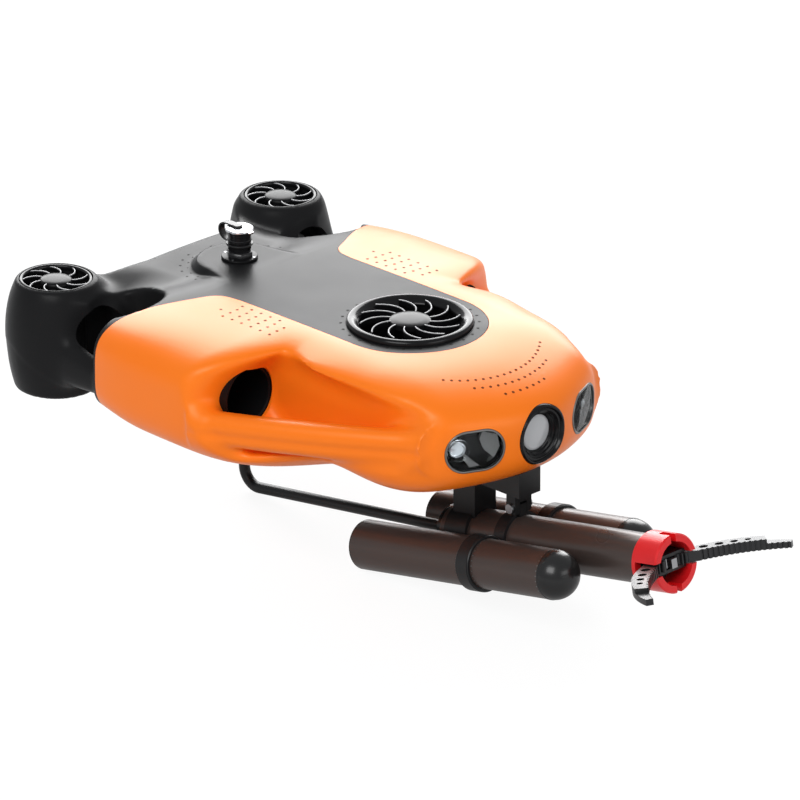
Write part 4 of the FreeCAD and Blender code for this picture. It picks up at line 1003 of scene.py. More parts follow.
@dataclass
class MouldGrain:
    """The shared effect of moulded plastic: fine grain in the normal, and patchy gloss and colour."""

    patch_size: float = 14.0
    gloss_spread: float = 0.035
    worn_most: float = 0.14
    bump_metres: float = 0.0002

    def build(self) -> bpy.types.NodeTree:
        """Builds the node group.

        Returns:
            The group, which puts out colour, roughness and normal.
        """
        tree = bpy.data.node_groups.new("moulded_surface", "ShaderNodeTree")
        add_sockets(tree, {"Color": ("Color", (0.5, 0.5, 0.5, 1)), "Worn": ("Color", (0.6, 0.6, 0.6, 1)),
                           "Gloss": ("Float", 0.4), "Grain Size": ("Float", 900.0), "Grain Depth": ("Float", 0.1)},
                    {"Color": "Color", "Roughness": "Float", "Normal": "Vector"})
        given, result = add_node(tree, "NodeGroupInput"), add_node(tree, "NodeGroupOutput")
        where = add_node(tree, "ShaderNodeTexCoord")
        grain = add_node(tree, "ShaderNodeTexNoise", {"Detail": 3.0, "Roughness": 0.6})
        patch = add_node(tree, "ShaderNodeTexNoise", {"Scale": self.patch_size, "Detail": 4.0, "Roughness": 0.55})
        bump = add_node(tree, "ShaderNodeBump", {"Distance": self.bump_metres})
        spread = add_node(tree, "ShaderNodeMapRange", {"From Min": 0.3, "From Max": 0.7,
                                                       "To Min": -self.gloss_spread, "To Max": self.gloss_spread})
        rough = add_node(tree, "ShaderNodeMath", {1: 1.0}, operation="MULTIPLY_ADD")
        amount = add_node(tree, "ShaderNodeMapRange", {"From Min": 0.35, "From Max": 0.8,
                                                       "To Min": 0.0, "To Max": self.worn_most})
        tint = add_node(tree, "ShaderNodeMix", data_type="RGBA")
        wire(tree, (where, "Object", grain, "Vector"), (where, "Object", patch, "Vector"),
             (given, "Grain Size", grain, "Scale"), (grain, "Fac", bump, "Height"),
             (given, "Grain Depth", bump, "Strength"), (bump, "Normal", result, "Normal"),
             (patch, "Fac", spread, "Value"), (spread, "Result", rough, 0), (given, "Gloss", rough, 2),
             (rough, "Value", result, "Roughness"), (patch, "Fac", amount, "Value"),
             (amount, "Result", tint, "Factor"), (given, "Color", tint, "A"), (given, "Worn", tint, "B"),
             (tint, "Result", result, "Color"))
        return tree


@dataclass(frozen=True)
class Finish:
    """One finish: its colours, gloss and grain, and how far it lets light through."""

    name: str
    color: tuple[float, float, float]
    worn: tuple[float, float, float]
    gloss: float = 0.4
    metal: float = 0.0
    grain: float = 900.0
    depth: float = 0.1
    coat: float = 0.0
    sheen: float = 0.5
    shine: tuple[float, float, float] = (1.0, 1.0, 1.0)
    clear: float = 0.0
    bend: float = 1.5

    def build(self, surface: bpy.types.NodeTree) -> bpy.types.Material:
        """Builds the material.

        Args:
            surface: The shared surface effect.

        Returns:
            The new material.
        """
        material = bpy.data.materials.new(self.name)
        material.use_nodes = True
        tree = material.node_tree
        shader = tree.nodes["Principled BSDF"]
        set_values(shader, Metallic=self.metal, Coat_Weight=self.coat, Coat_Roughness=0.12, IOR=self.bend,
                   Specular_IOR_Level=self.sheen, Specular_Tint=(*self.shine, 1), Transmission_Weight=self.clear)
        group = add_node(tree, "ShaderNodeGroup", node_tree=surface)
        set_values(group, Color=(*self.color, 1), Worn=(*self.worn, 1), Gloss=self.gloss, Grain_Size=self.grain,
                   Grain_Depth=self.depth)
        wire(tree, (group, "Color", shader, "Base Color"), (group, "Roughness", shader, "Roughness"),
             (group, "Normal", shader, "Normal"))
        return material


class Palette:
    """Every material of the vehicle, built once."""

    FINISHES: tuple[Finish, ...] = (
        Finish("orange_mould", (1.0, 0.2, 0.008), (1.0, 0.24, 0.014), 0.36, grain=700, depth=0.05,
               sheen=0.42, shine=(1.0, 0.84, 0.56)),
        Finish("deck_black", (0.012, 0.012, 0.0125), (0.018, 0.018, 0.019), 0.34, grain=800, depth=0.06,
               sheen=0.075),
        Finish("black_mould", (0.006, 0.006, 0.0065), (0.012, 0.012, 0.013), 0.3, grain=800, depth=0.04,
               sheen=0.1),
        Finish("gloss_black", (0.005, 0.005, 0.0055), (0.012, 0.012, 0.013), 0.2, grain=500, depth=0.03,
               sheen=0.2),
        # Painted highlight: a light grey strip along the top of each guard spoke, standing for the thin bright
        # edge that light catches there.
        Finish("spoke_painted_highlight", (0.3, 0.3, 0.305), (0.4, 0.4, 0.41), 0.3, depth=0.03),
        # Dark pegs in the hull's small blind holes: their colour is painted shade for the inside of each hole,
        # black on the deck and dark brown on the orange.
        Finish("hole_shade_black", (0.01, 0.008, 0.007), (0.02, 0.015, 0.012), 0.7, depth=0.02, sheen=0.1),
        Finish("hole_shade_brown", (0.16, 0.035, 0.006), (0.24, 0.06, 0.012), 0.7, depth=0.02, sheen=0.1),
        Finish("motor_can", (0.03, 0.03, 0.033), (0.06, 0.06, 0.066), 0.35, 1.0, 300, 0.05),
        Finish("blade_plastic", (0.006, 0.006, 0.007), (0.02, 0.02, 0.022), 0.3, depth=0.05, sheen=0.2),
        Finish("bezel_metal", (0.17, 0.17, 0.165), (0.3, 0.3, 0.3), 0.3, 0.8, 600, 0.03),
        Finish("plug_metal", (0.012, 0.012, 0.013), (0.05, 0.05, 0.055), 0.24, 0.3, 600, 0.05),
        Finish("bright_metal", (0.62, 0.63, 0.65), (0.8, 0.8, 0.82), 0.25, 1.0, 600, 0.04),
        Finish("strap_rubber", (0.01, 0.01, 0.0105), (0.02, 0.02, 0.021), 0.35, grain=500),
        Finish("tube_brown", (0.06, 0.045, 0.04), (0.15, 0.06, 0.035), 0.3, 0.3, 1200, 0.05),
        Finish("cap_black", (0.01, 0.01, 0.01), (0.02, 0.02, 0.02), 0.24, depth=0.03, sheen=0.4),
        Finish("bracket_black", (0.01, 0.01, 0.0105), (0.03, 0.03, 0.032), 0.36, grain=500, depth=0.12,
               sheen=0.3),
        Finish("red_anodised", (0.75, 0.008, 0.012), (0.85, 0.04, 0.035), 0.3, 0.15, 900, 0.05),
        Finish("jaw_coat", (0.02, 0.02, 0.021), (0.07, 0.07, 0.074), 0.3, 0.4, 500, 0.12),
        Finish("machined_steel", (0.35, 0.35, 0.36), (0.55, 0.55, 0.56), 0.3, 1.0, 700, 0.06),
        Finish("facet_grey", (0.12, 0.12, 0.12), (0.2, 0.2, 0.2), 0.22, 0.2, 400, 0.02),
        # Camera port: its pale grey colour is a painted reflection; its low roughness and coat are the glass's
        # own.
        Finish("port_grey_painted_reflection", (0.5, 0.51, 0.52), (0.62, 0.63, 0.64), 0.12, grain=300, depth=0.01, coat=0.6),
        Finish("inner_case", (0.1, 0.1, 0.11), (0.14, 0.14, 0.15), 0.5),
        Finish("led_silver", (0.75, 0.76, 0.78), (0.9, 0.9, 0.92), 0.2, 0.7, depth=0.02),
        Finish("clear_glass", (0.93, 0.95, 0.96), (0.88, 0.9, 0.91), 0.05, depth=0.01, clear=1.0, bend=1.12),
    )

    def __init__(self) -> None:
        """Builds the materials."""
        surface = MouldGrain().build()
        self.made: dict[str, bpy.types.Material] = {f.name: f.build(surface) for f in self.FINISHES}

    def __getitem__(self, name: str) -> bpy.types.Material:
        """The material of that name."""
        return self.made[name]


# ------------------------------------------------------------------ hull


@dataclass
class Assembly:
    """A sub-assembly that takes its finishes from the palette."""

    palette: Palette

    def put(self, obj: bpy.types.Object, look: str, slot: str, *replaces: str,
            body: Body = Body.HULL) -> None:
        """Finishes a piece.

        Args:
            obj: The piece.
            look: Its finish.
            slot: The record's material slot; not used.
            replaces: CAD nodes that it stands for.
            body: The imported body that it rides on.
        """
        finish_piece(obj, body.value, self.palette[look], replaces)


@dataclass
class Hull(Assembly):
    """The moulded hull: orange shells with handles, and the dark deck with its tail and pods.

    Attributes:
        form: The hull's field.
        step: Cell size of the net that meshes it; box, the corners of the box that the net searches.
        deck_half: Half width of the deck; rim, X and Y of the parting line from the deck to the hull's side.
        gap: Half the parting gap between orange and dark.
        tunnel: Radius of the front bore; bezel_seat and bezel_low, radius and level of its seat.
        pod_bore: Radius of a pod's bore; pod_seat and pod_low, radius and level of its seat.
        under: Lowest level of the bores' tools; over, the highest.
        duct: Radius of a side duct; duct_y and duct_z place it; duct_run is its first X and its length.
        eye_z: Level of camera and lamps; eye_r, radius of the camera's bore; eye_run, its first X and length.
        lamp: Length and width of a lamp's pocket; lamp_run, its lowest and highest level in the lamp's frame.
        lamp_place: X and Y of the port lamp; lamp_yaw, how far it is turned outwards, in degrees.
        rear: X behind everything dark, and half width there.
    """

    form: HullForm = field(default_factory=HullForm)
    step: float = 2.0
    box: tuple[tuple[float, float, float], ...] = ((-300, -164, -112), (150, 164, 6))
    deck_half: float = 57.5
    gap: float = 0.25
    bezel_seat: float = 47.2
    bezel_low: float = -9.0
    tunnel: float = 41.5
    pod_bore: float = 24.6
    pod_seat: float = 27.6
    pod_low: float = -13.0
    under: float = -130.0
    over: float = 20.0
    duct: float = 23.6
    duct_y: float = 109.0
    duct_z: float = -47.0
    duct_run: tuple[float, float] = (-230.0, 176.0)
    eye_z: float = -52.5
    eye_r: float = 23.1
    eye_run: tuple[float, float] = (111.0, 60.0)
    lamp: tuple[float, float] = (47.2, 33.2)
    lamp_run: tuple[float, float] = (-24.0, 30.0)
    lamp_place: tuple[float, float] = (123.5, 56.6)
    lamp_yaw: float = 28.4
    rim: tuple[tuple[float, float], ...] = (
        (-118, 57.5), (-132, 59.0), (-139.5, 63.5), (-144, 71), (-149, 81), (-156, 93), (-164, 108),
        (-170, 122), (-174, 136), (-176.5, 160))
    rear: tuple[float, float] = (-420.0, 160.0)

    def dark_plan(self, grow: float) -> list[tuple[float, float]]:
        """The plan of everything dark.

        Args:
            grow: How far the plan is grown, in millimetres.

        Returns:
            X and Y of each corner, anticlockwise.
        """
        half = self.deck_half + grow
        turn = [math.pi * (i / 40 - 0.5) for i in range(41)]
        nose = [(half * math.cos(a), half * math.sin(a)) for a in turn]
        side = smooth_line([(x, y + grow) for x, y in self.rim])
        side[0] = (side[0][0], half)
        rear_x, rear_y = self.rear
        return nose + side + [(rear_x, rear_y), (rear_x, -rear_y)] + [(x, -y) for x, y in side[::-1]]

    def body(self) -> bpy.types.Object:
        """The whole moulded body with its bores and seats.

        Returns:
            The closed piece.
        """
        points, faces = surface_net(self.form.whole, *self.box, self.step)
        obj = make_piece("moulded_body", settle(points, self.form.whole, self.step), faces)
        for tool in self.cutters():
            cut(obj, tool)
        return obj

    def bore(self, place: Matrix, radius: float, seat: float, level: float, steps: int) -> bpy.types.Object:
        """A tool for a bore through the hull with a wider seat at its top.

        Args:
            place: The bore's frame.
            radius: Its radius.
            seat: Radius of the seat.
            level: Height of the seat.
            steps: Facets round the axis.

        Returns:
            The closed tool.
        """
        profile = [(0, self.under), (radius, self.under), (radius, level), (seat, level), (seat, self.over),
                   (0, self.over)]
        return lathe("tool", profile, place, steps)

    def cutters(self) -> Iterable[bpy.types.Object]:
        """Closed tools for the bores and seats.

        Yields:
            One tool after another.
        """
        yield self.bore(Matrix.Identity(4), self.tunnel, self.bezel_seat, self.bezel_low, 96)
        pod_x, pod_y = self.form.pod_form.centre
        for _, side in SIDES:
            place = Matrix.Translation((pod_x, side * pod_y, 0))
            yield self.bore(place, self.pod_bore, self.pod_seat, self.pod_low, 80)
            start, run = self.duct_run
            rear = axes((start, side * self.duct_y, self.duct_z), (0, 1, 0), (1, 0, 0))
            yield lathe("tool", [(0, 0), (self.duct, 0), (self.duct, run), (0, run)], rear, 64)
            yield extrude("tool", slot_outline(*self.lamp), *self.lamp_run, self.lamp_frame(side))
        start, run = self.eye_run
        nose = axes((start, 0, self.eye_z), (0, 1, 0), (1, 0, 0))
        yield lathe("tool", [(0, 0), (self.eye_r, 0), (self.eye_r, run), (0, run)], nose, 72)

    def lamp_frame(self, side: int) -> Matrix:
        """The frame of a lamp: its Z looks out, its X runs across to port.

        Args:
            side: 1 for port and -1 for starboard.

        Returns:
            The frame in the hull frame.
        """
        a = math.radians(side * self.lamp_yaw)
        out, across = (math.cos(a), math.sin(a), 0), (-math.sin(a), math.cos(a), 0)
        return axes((self.lamp_place[0], side * self.lamp_place[1], self.eye_z), across, out)

    def build(self) -> None:
        """Builds the orange shells and the dark deck with its tail."""
        orange = self.body()
        dark = copy_of(orange, "deck_and_tail")
        orange.name = orange.data.name = "hull_shell"
        low, high = -140, 40
        cut(orange, extrude("tool", self.dark_plan(self.gap), low, high))
        cut(dark, extrude("tool", self.dark_plan(-self.gap), low, high), "INTERSECT")
        for obj in (orange, dark):
            shade(obj, 38)
        self.put(orange, "orange_mould", "orange_shell", "upper_shell", "lower_shell", "handle_port",
                 "handle_starboard")
        self.put(dark, "deck_black", "black_shell", "deck_panel", "tail_frame", "pod_port", "pod_starboard")


def smooth_line(points: Sequence[tuple[float, float]], rounds: int = 3) -> list[tuple[float, float]]:
    """Rounds a line's corners by cutting them, with its ends kept.

    Args:
        points: Its corners.
        rounds: Times that the corners are cut.

    Returns:
        The rounded line.
    """
    line = list(points)
    for _ in range(rounds):
        new = [line[0]]
        for (ax, ay), (bx, by) in zip(line, line[1:]):
            new += [(0.75 * ax + 0.25 * bx, 0.75 * ay + 0.25 * by),
                    (0.25 * ax + 0.75 * bx, 0.25 * ay + 0.75 * by)]
        line = new + [line[-1]]
    return line


# ------------------------------------------------------------------ repeats


def run_tree(tree: bpy.types.NodeTree, obj: bpy.types.Object, **values: object) -> None:
    """Runs a tree on an object and keeps the result as its plain mesh.

    Args:
        tree: The Geometry Nodes tree.
        obj: The object whose mesh goes in.
        values: Inputs by name, with spaces written as underscores.
    """
    modifier = obj.modifiers.new("repeat", "NODES")
    modifier.node_group = tree
    names = {item.name: item.identifier for item in tree.interface.items_tree
             if item.item_type == "SOCKET" and item.in_out == "INPUT"}
    for key, value in values.items():
        modifier[names[key.replace("_", " ")]] = value
    bake_modifiers(obj)


class Trees:
    """The Geometry Nodes trees for what repeats."""

    def __init__(self) -> None:
        """Builds both trees."""
        self.stamp = self.build_stamp()
        self.round = self.build_round()

    def build_stamp(self) -> bpy.types.NodeTree:
        """Builds the tree that stands a short peg at every point, along the point's own direction.

        Returns:
            The tree.
        """
        tree = bpy.data.node_groups.new("stamp_at_points", "GeometryNodeTree")
        add_sockets(tree, {"Geometry": ("Geometry", None), "Radius": ("Float", 0.001), "Depth": ("Float", 0.001),
                           "Sides": ("Int", 12), "Finish": ("Material", None)}, {"Geometry": "Geometry"})
        given, result = add_node(tree, "NodeGroupInput"), add_node(tree, "NodeGroupOutput")
        peg = add_node(tree, "GeometryNodeMeshCylinder")
        stand = add_node(tree, "GeometryNodeInstanceOnPoints")
        facing = add_node(tree, "GeometryNodeInputNamedAttribute", {"Name": "facing"}, data_type="FLOAT_VECTOR")
        turn = add_node(tree, "FunctionNodeAlignRotationToVector", axis="Z")
        wire(tree, (given, "Sides", peg, "Vertices"), (given, "Radius", peg, "Radius"),
             (given, "Depth", peg, "Depth"), (given, "Geometry", stand, "Points"),
             (peg, "Mesh", stand, "Instance"), (facing, "Attribute", turn, "Vector"),
             (turn, "Rotation", stand, "Rotation"))
        self.finish(tree, given, stand, result)
        return tree

    def build_round(self) -> bpy.types.NodeTree:
        """Builds the tree that copies a mesh, evenly spaced, round an axis.

        Returns:
            The tree.
        """
        tree = bpy.data.node_groups.new("repeat_round_axis", "GeometryNodeTree")
        add_sockets(tree, {"Geometry": ("Geometry", None), "Count": ("Int", 12), "Centre": ("Vector", (0, 0, 0)),
                           "Axis": ("Vector", (0, 0, 1)), "Finish": ("Material", None)}, {"Geometry": "Geometry"})
        given, result = add_node(tree, "NodeGroupInput"), add_node(tree, "NodeGroupOutput")
        back = add_node(tree, "ShaderNodeVectorMath", {"Scale": -1.0}, operation="SCALE")
        home, points = add_node(tree, "GeometryNodeTransform"), add_node(tree, "GeometryNodePoints")
        stand, index = add_node(tree, "GeometryNodeInstanceOnPoints"), add_node(tree, "GeometryNodeInputIndex")
        part = add_node(tree, "ShaderNodeMath", operation="DIVIDE")
        angle = add_node(tree, "ShaderNodeMath", {1: 2 * math.pi}, operation="MULTIPLY")
        turn = add_node(tree, "FunctionNodeAxisAngleToRotation")
        wire(tree, (given, "Centre", back, 0), (back, "Vector", home, "Translation"),
             (given, "Geometry", home, "Geometry"), (given, "Count", points, "Count"),
             (given, "Centre", points, "Position"), (index, "Index", part, 0), (given, "Count", part, 1),
             (part, "Value", angle, 0), (given, "Axis", turn, "Axis"), (angle, "Value", turn, "Angle"),
             (points, "Points", stand, "Points"), (home, "Geometry", stand, "Instance"),
             (turn, "Rotation", stand, "Rotation"))
        self.finish(tree, given, stand, result)
        return tree

    def finish(self, tree: bpy.types.NodeTree, given: bpy.types.Node, stand: bpy.types.Node,
               result: bpy.types.Node) -> None:
        """Ends a tree: makes its instances real and gives them their finish.

        Args:
            tree: The tree.
            given: Its inputs.
            stand: The node that makes the instances.
            result: Its outputs.
        """
        real, paint = add_node(tree, "GeometryNodeRealizeInstances"), add_node(tree, "GeometryNodeSetMaterial")
        wire(tree, (stand, "Instances", real, "Geometry"), (real, "Geometry", paint, "Geometry"),
             (given, "Finish", paint, "Material"), (paint, "Geometry", result, "Geometry"))

    def stamp_all(self, name: str, points: Points, facing: Points, radius: float, depth: float,
                  finish: bpy.types.Material, slot: str, body: str = Body.HULL.value, sides: int = 12) -> None:
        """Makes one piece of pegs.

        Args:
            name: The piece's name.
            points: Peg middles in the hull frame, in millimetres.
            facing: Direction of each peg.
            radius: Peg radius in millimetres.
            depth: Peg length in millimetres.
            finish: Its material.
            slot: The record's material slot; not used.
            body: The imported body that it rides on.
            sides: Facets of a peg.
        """
        obj = make_piece(name, np.asarray(points, float), [])
        layer = obj.data.attributes.new("facing", "FLOAT_VECTOR", "POINT")
        layer.data.foreach_set("vector", np.asarray(facing, np.float32).ravel())
        run_tree(self.stamp, obj, Radius=radius * MM, Depth=depth * MM, Sides=sides, Finish=finish)
        shade(obj, 40)
        finish_piece(obj, body, finish)

    def round_all(self, obj: bpy.types.Object, count: int, centre: Sequence[float], axis: Sequence[float],
                  finish: bpy.types.Material) -> None:
        """Repeats a piece round an axis.

        Args:
            obj: The piece, which ends as all its copies.
            count: How many there are.
            centre: A hull point on the axis.
            axis: Its direction.
            finish: The copies' material.
        """
        spot = FRAME.row(np.array([centre], float))[0]
        run_tree(self.round, obj, Count=count, Centre=tuple(float(c) for c in spot),
                 Axis=tuple(float(c) for c in axis), Finish=finish)


# ------------------------------------------------------------------ thruster guards


@dataclass(frozen=True)
class GuardSize:
    """Sizes of one thruster guard: rounded ring, curved spokes and domed hub.

    Attributes:
        name: What its pieces are called.
        node: The CAD node that it stands for.
        centre: X and Y of its axis.
        ring: Radius and height of each corner of the ring's section.
        inner: Radius where the spokes meet the ring.
        hub: Radius of the hub.
        low: Level of its underside.
        top: Level of the hub's top.
        count: How many spokes it has.
    """

    name: str
    node: str
    centre: tuple[float, float]
    ring: tuple[tuple[float, float], ...]
    inner: float
    hub: float
    low: float
    top: float
    count: int


@dataclass
class Guards(Assembly):
    """The guards over the front thruster and the two pods; a light grey strip on each spoke's top is a painted
    highlight.
    """

    trees: Trees
    spoke_wide: float = 1.7
    highlight_strip_wide: float = 0.9
    spoke_turn: float = 27.2
    spoke_bend: float = 1.7
    spoke_points: int = 15

    def sizes(self) -> list[GuardSize]:
        """Lists the three guards.

        Returns:
            The size of each.
        """
        front = ((46.9, -5.5), (46.9, -2.6), (46.4, -1.2), (45.3, -0.3), (43.9, 0.0), (42.4, -0.2), (40.9, -1.0),
                 (39.3, -2.4), (37.8, -3.6), (36.9, -4.2), (36.6, -5.5))
        pod = ((27.4, -12.7), (27.4, -10.4), (27.0, -9.4), (26.1, -8.8), (25.1, -9.0), (24.5, -9.8), (24.2, -11.0),
               (24.2, -12.7))
        made = [GuardSize("front_grille", "front_guard", (0, 0), front, 37.0, 15.6, -5.5, -0.2, 12)]
        for side, sign in SIDES:
            made.append(GuardSize("pod_grille_" + side, "pod_guard_" + side, (-253, 116 * sign), pod, 24.6, 12.4,
                                  -12.7, -8.8, 9))
        return made

    def build(self) -> None:
        """Builds every guard."""
        for size in self.sizes():
            place = Matrix.Translation((*size.centre, 0))
            ring = lathe(size.name + "_ring", size.ring, place, 120, 60)
            self.put(ring, "gloss_black", "guard", size.node)
            h, low, top = size.hub, size.low, size.top
            dome = [(0, low), (h, low), (h, low + 0.9), (h * 0.97, top - 1.5), (h * 0.86, top - 0.7),
                    (h * 0.62, top - 0.25), (h * 0.3, top - 0.05), (0, top)]
            self.put(lathe(size.name + "_hub", dome, place, 64, 50), "black_mould", "guard")
            self.spokes(size, place, "spoke", self.spoke_wide, low, top - 1.3, "gloss_black")
            # The narrow light grey layer on top of each spoke is a painted highlight of its bright edge.
            self.spokes(size, place, "edge", self.highlight_strip_wide, top - 1.5, top - 1.0, "spoke_painted_highlight")

    def spokes(self, size: GuardSize, place: Matrix, part: str, wide: float, low: float, high: float,
               look: str) -> None:
        """Adds one layer of a guard's spokes.

        Args:
            size: The guard.
            place: Its frame.
            part: What the layer is called.
            wide: Width of each spoke.
            low: Bottom.
            high: Top.
            look: Its finish.
        """
        steps = np.linspace(0, 1, self.spoke_points)
        radius = size.hub - 0.6 + (size.inner + 0.4 - size.hub + 0.6) * steps
        turn = np.radians(self.spoke_turn) * steps ** self.spoke_bend
        line = np.column_stack([radius * np.cos(turn), radius * np.sin(turn), np.zeros(self.spoke_points)])
        half, round_off = wide / 2, min(0.35 * wide, 0.4 * (high - low))
        section = [(-half, low), (half, low), (half, high - round_off), (half - round_off, high),
                   (-half + round_off, high), (-half, high - round_off)]
        one = sweep(f"{size.name}_{part}s", line, section, (0, 0, 1), place)
        self.trees.round_all(one, size.count, (*size.centre, 0), (0, 0, 1), self.palette[look])
        shade(one, 40)
        self.put(one, look, "guard")


# ------------------------------------------------------------------ lamps and camera


@dataclass
class Lamps(Assembly):
    """The two lamps: thin rim, clear pane, faceted black bowl and its light module."""

    hull: Hull
    width: float = 46.8
    height: float = 32.8
    rim: float = 1.5
    proud: float = 2.6
    module_x: float = 11.5
    facet_deep: float = 3.2
    facets: tuple[tuple[tuple[float, float, float], ...], ...] = (
        ((7.0, 13.0, -5.5), (17.5, 10.0, -4.5), (19.5, 0.0, -5.5), (15.5, -8.5, -6.5), (8.5, -2.5, -9.5),
         (5.5, 5.5, -9.0)),
        ((-6.5, -4.0, -9.5), (-1.5, -8.0, -7.5), (4.5, -13.0, -5.0), (-3.0, -13.6, -5.0), (-6.5, -9.0, -8.0)))

    def lift(self, place: Matrix) -> Callable[[np.ndarray, np.ndarray], np.ndarray]:
        """Measures the hull's own face across a lamp.

        Args:
            place: The lamp's frame.

        Returns:
            A function that gives the face's height at each X and Y of the lamp.
        """
        turn = np.array(place.to_3x3())
        origin = np.array(place.translation)

        def height(x: np.ndarray, y: np.ndarray) -> np.ndarray:
            """The face's height at each X and Y, held below the most that it may stand proud."""
            level = leaves(lambda z: self.hull.form.skin(np.column_stack([x, y, z]) @ turn.T + origin) < 0,
                           -30.0, 12.0, len(x), 24)
            return np.minimum(level, self.proud)

        return height

    def build(self) -> None:
        """Builds both lamps."""
        r, size = self.rim, (self.width, self.height)
        for side, sign in SIDES:
            place = self.hull.lamp_frame(sign)
            lift = self.lift(place)
            rim = slot_sweep("lamp_rim_" + side, [(0, -3.5), (0, 0.1), (0.35, 0.55), (0.9, 0.65), (r, 0.3),
                                                  (r, -3.5)], *size, place, lift, smooth=50)
            self.put(rim, "bezel_metal", "bezel", "lamp_bezel_" + side)
            pane = slot_sweep("lamp_pane_" + side, [(r + 0.05, -1.6), (r + 0.05, -0.4), (r + 0.5, -0.1)], *size,
                              place, lift, False, 50)
            self.put(pane, "clear_glass", "glass", "lamp_window_" + side)
            bowl = slot_sweep("lamp_bowl_" + side, [(0.1, -3.6), (0.1, -13.0), (7.0, -14.6), (7.6, -13.6),
                                                    (3.0, -8.0), (r, -3.6)], *size, place, lift, smooth=20)
            floor = slot_sweep("lamp_floor_" + side, [(7.2, -14.5), (7.2, -13.7)], *size, place, lift, False)
            self.put(bowl, "gloss_black", "reflector", "lamp_reflector_" + side)
            self.put(floor, "gloss_black", "reflector")
            self.add_facets(side, sign, place)
            self.add_module(side, sign, place)

    def add_facets(self, side: str, sign: int, place: Matrix) -> None:
        """Adds the grey facets inside a lamp: a large one at its inner end and a small one below.

        Args:
            side: The lamp's name.
            sign: 1 for port and -1 for starboard.
            place: The lamp's frame.
        """
        for number, row in enumerate(self.facets):
            corners = [(-sign * x, y, z) for x, y, z in row]
            middle = np.mean(corners, 0) - (0, 0, self.facet_deep / 2)
            points = [place @ Vector(c) for c in corners] + [place @ Vector(middle)]
            points += [place @ Vector((x, y, z - self.facet_deep)) for x, y, z in corners]
            n = len(corners)
            faces = [(i, (i + 1) % n, n) for i in range(n)] + [tuple(range(n + 1, 2 * n + 1))]
            faces += [(i, n + 1 + i, n + 1 + (i + 1) % n, (i + 1) % n) for i in range(n)]
            obj = make_piece(f"lamp_facet_{number}_{side}", np.array(points), faces)
            outward(obj)
            shade(obj, 60)
            self.put(obj, "facet_grey", "reflector")

    def add_module(self, side: str, sign: int, place: Matrix) -> None:
        """Adds the light module at a lamp's outer end: bright plate under a clear ringed lens.

        Args:
            side: The lamp's name.
            sign: 1 for port and -1 for starboard.
            place: The lamp's frame.
        """
        spot = place @ Matrix.Translation((sign * self.module_x, 0, 0))
        plate = [(0, -12.5), (6.4, -12.5), (6.4, -7.5), (5.4, -6.6), (4.6, -8.4), (0, -9.4)]
        self.put(lathe("lamp_light_" + side, plate, spot, 32, 40), "led_silver", "reflector")
        lens = [(0, -8.9), (4.4, -8.0), (5.2, -6.2), (6.6, -7.0), (8.4, -5.6), (8.4, -4.4), (6.2, -5.2),
                (3.2, -4.2), (0, -3.9)]
        self.put(lathe("lamp_lens_" + side, lens, spot, 32, 30), "clear_glass", "glass")


@dataclass
class Eye(Assembly):
    """The camera: a ring with a stepped black cone inside, and its glass port, whose pale grey colour is a painted
    reflection.
    """

    hull: Hull
    ring: tuple[tuple[float, float], ...] = (
        (22.9, 112.0), (22.9, 137.9), (22.5, 138.8), (21.7, 139.2), (20.7, 138.9), (20.1, 138.0), (19.6, 136.6),
        (18.2, 135.8), (17.9, 134.9), (16.6, 133.6), (16.2, 132.0), (15.2, 131.4), (14.8, 129.8), (13.7, 129.2),
        (13.7, 112.0))
    port: tuple[tuple[float, float], ...] = (
        (0, 128.52), (13.5, 128.52), (13.5, 128.9), (12.6, 129.3), (11.8, 129.5), (0, 129.6))
    face_x: float = 138.0
    most_back: float = 5.5
    bend_depth: tuple[float, float] = (128.0, 8.0)
    bend_radius: tuple[float, float] = (14.0, 6.0)

    def build(self) -> None:
        """Builds the camera."""
        place = axes((0, 0, self.hull.eye_z), (0, 1, 0), (1, 0, 0))
        ring = lathe("camera_ring", self.ring, place, 96, 30)
        self.follow_face(ring)
        shade(ring, 30)
        self.put(ring, "gloss_black", "bezel", "camera_bezel")
        # The port's pale grey finish is a painted reflection.
        self.put(lathe("camera_port", self.port, place, 64, 30), "port_grey_painted_reflection", "glass", "camera_lens")

    def follow_face(self, ring: bpy.types.Object) -> None:
        """Bends a ring's front back to the hull's own face.

        Args:
            ring: The ring, in row metres.
        """
        mesh = ring.data
        co = np.empty(len(mesh.vertices) * 3)
        mesh.vertices.foreach_get("co", co)
        co = co.reshape(-1, 3)
        y, z = co[:, 1] / MM, co[:, 2] / MM - FRAME.shift_z
        face = leaves(lambda x: self.hull.form.skin(np.column_stack([x, y, z])) < 0, 120.0, 145.0, len(co), 22)
        radius = np.hypot(y, z - self.hull.eye_z)
        (back, run), (inner, wide) = self.bend_depth, self.bend_radius
        depth = np.clip((co[:, 0] / MM - FRAME.shift_x - back) / run, 0, 1)
        share = np.clip((radius - inner) / wide, 0, 1) * depth
        co[:, 0] += share * np.clip(face - self.face_x, -self.most_back, 0) * MM
        mesh.vertices.foreach_set("co", co.ravel())
        mesh.update()


# ------------------------------------------------------------------ tether connector


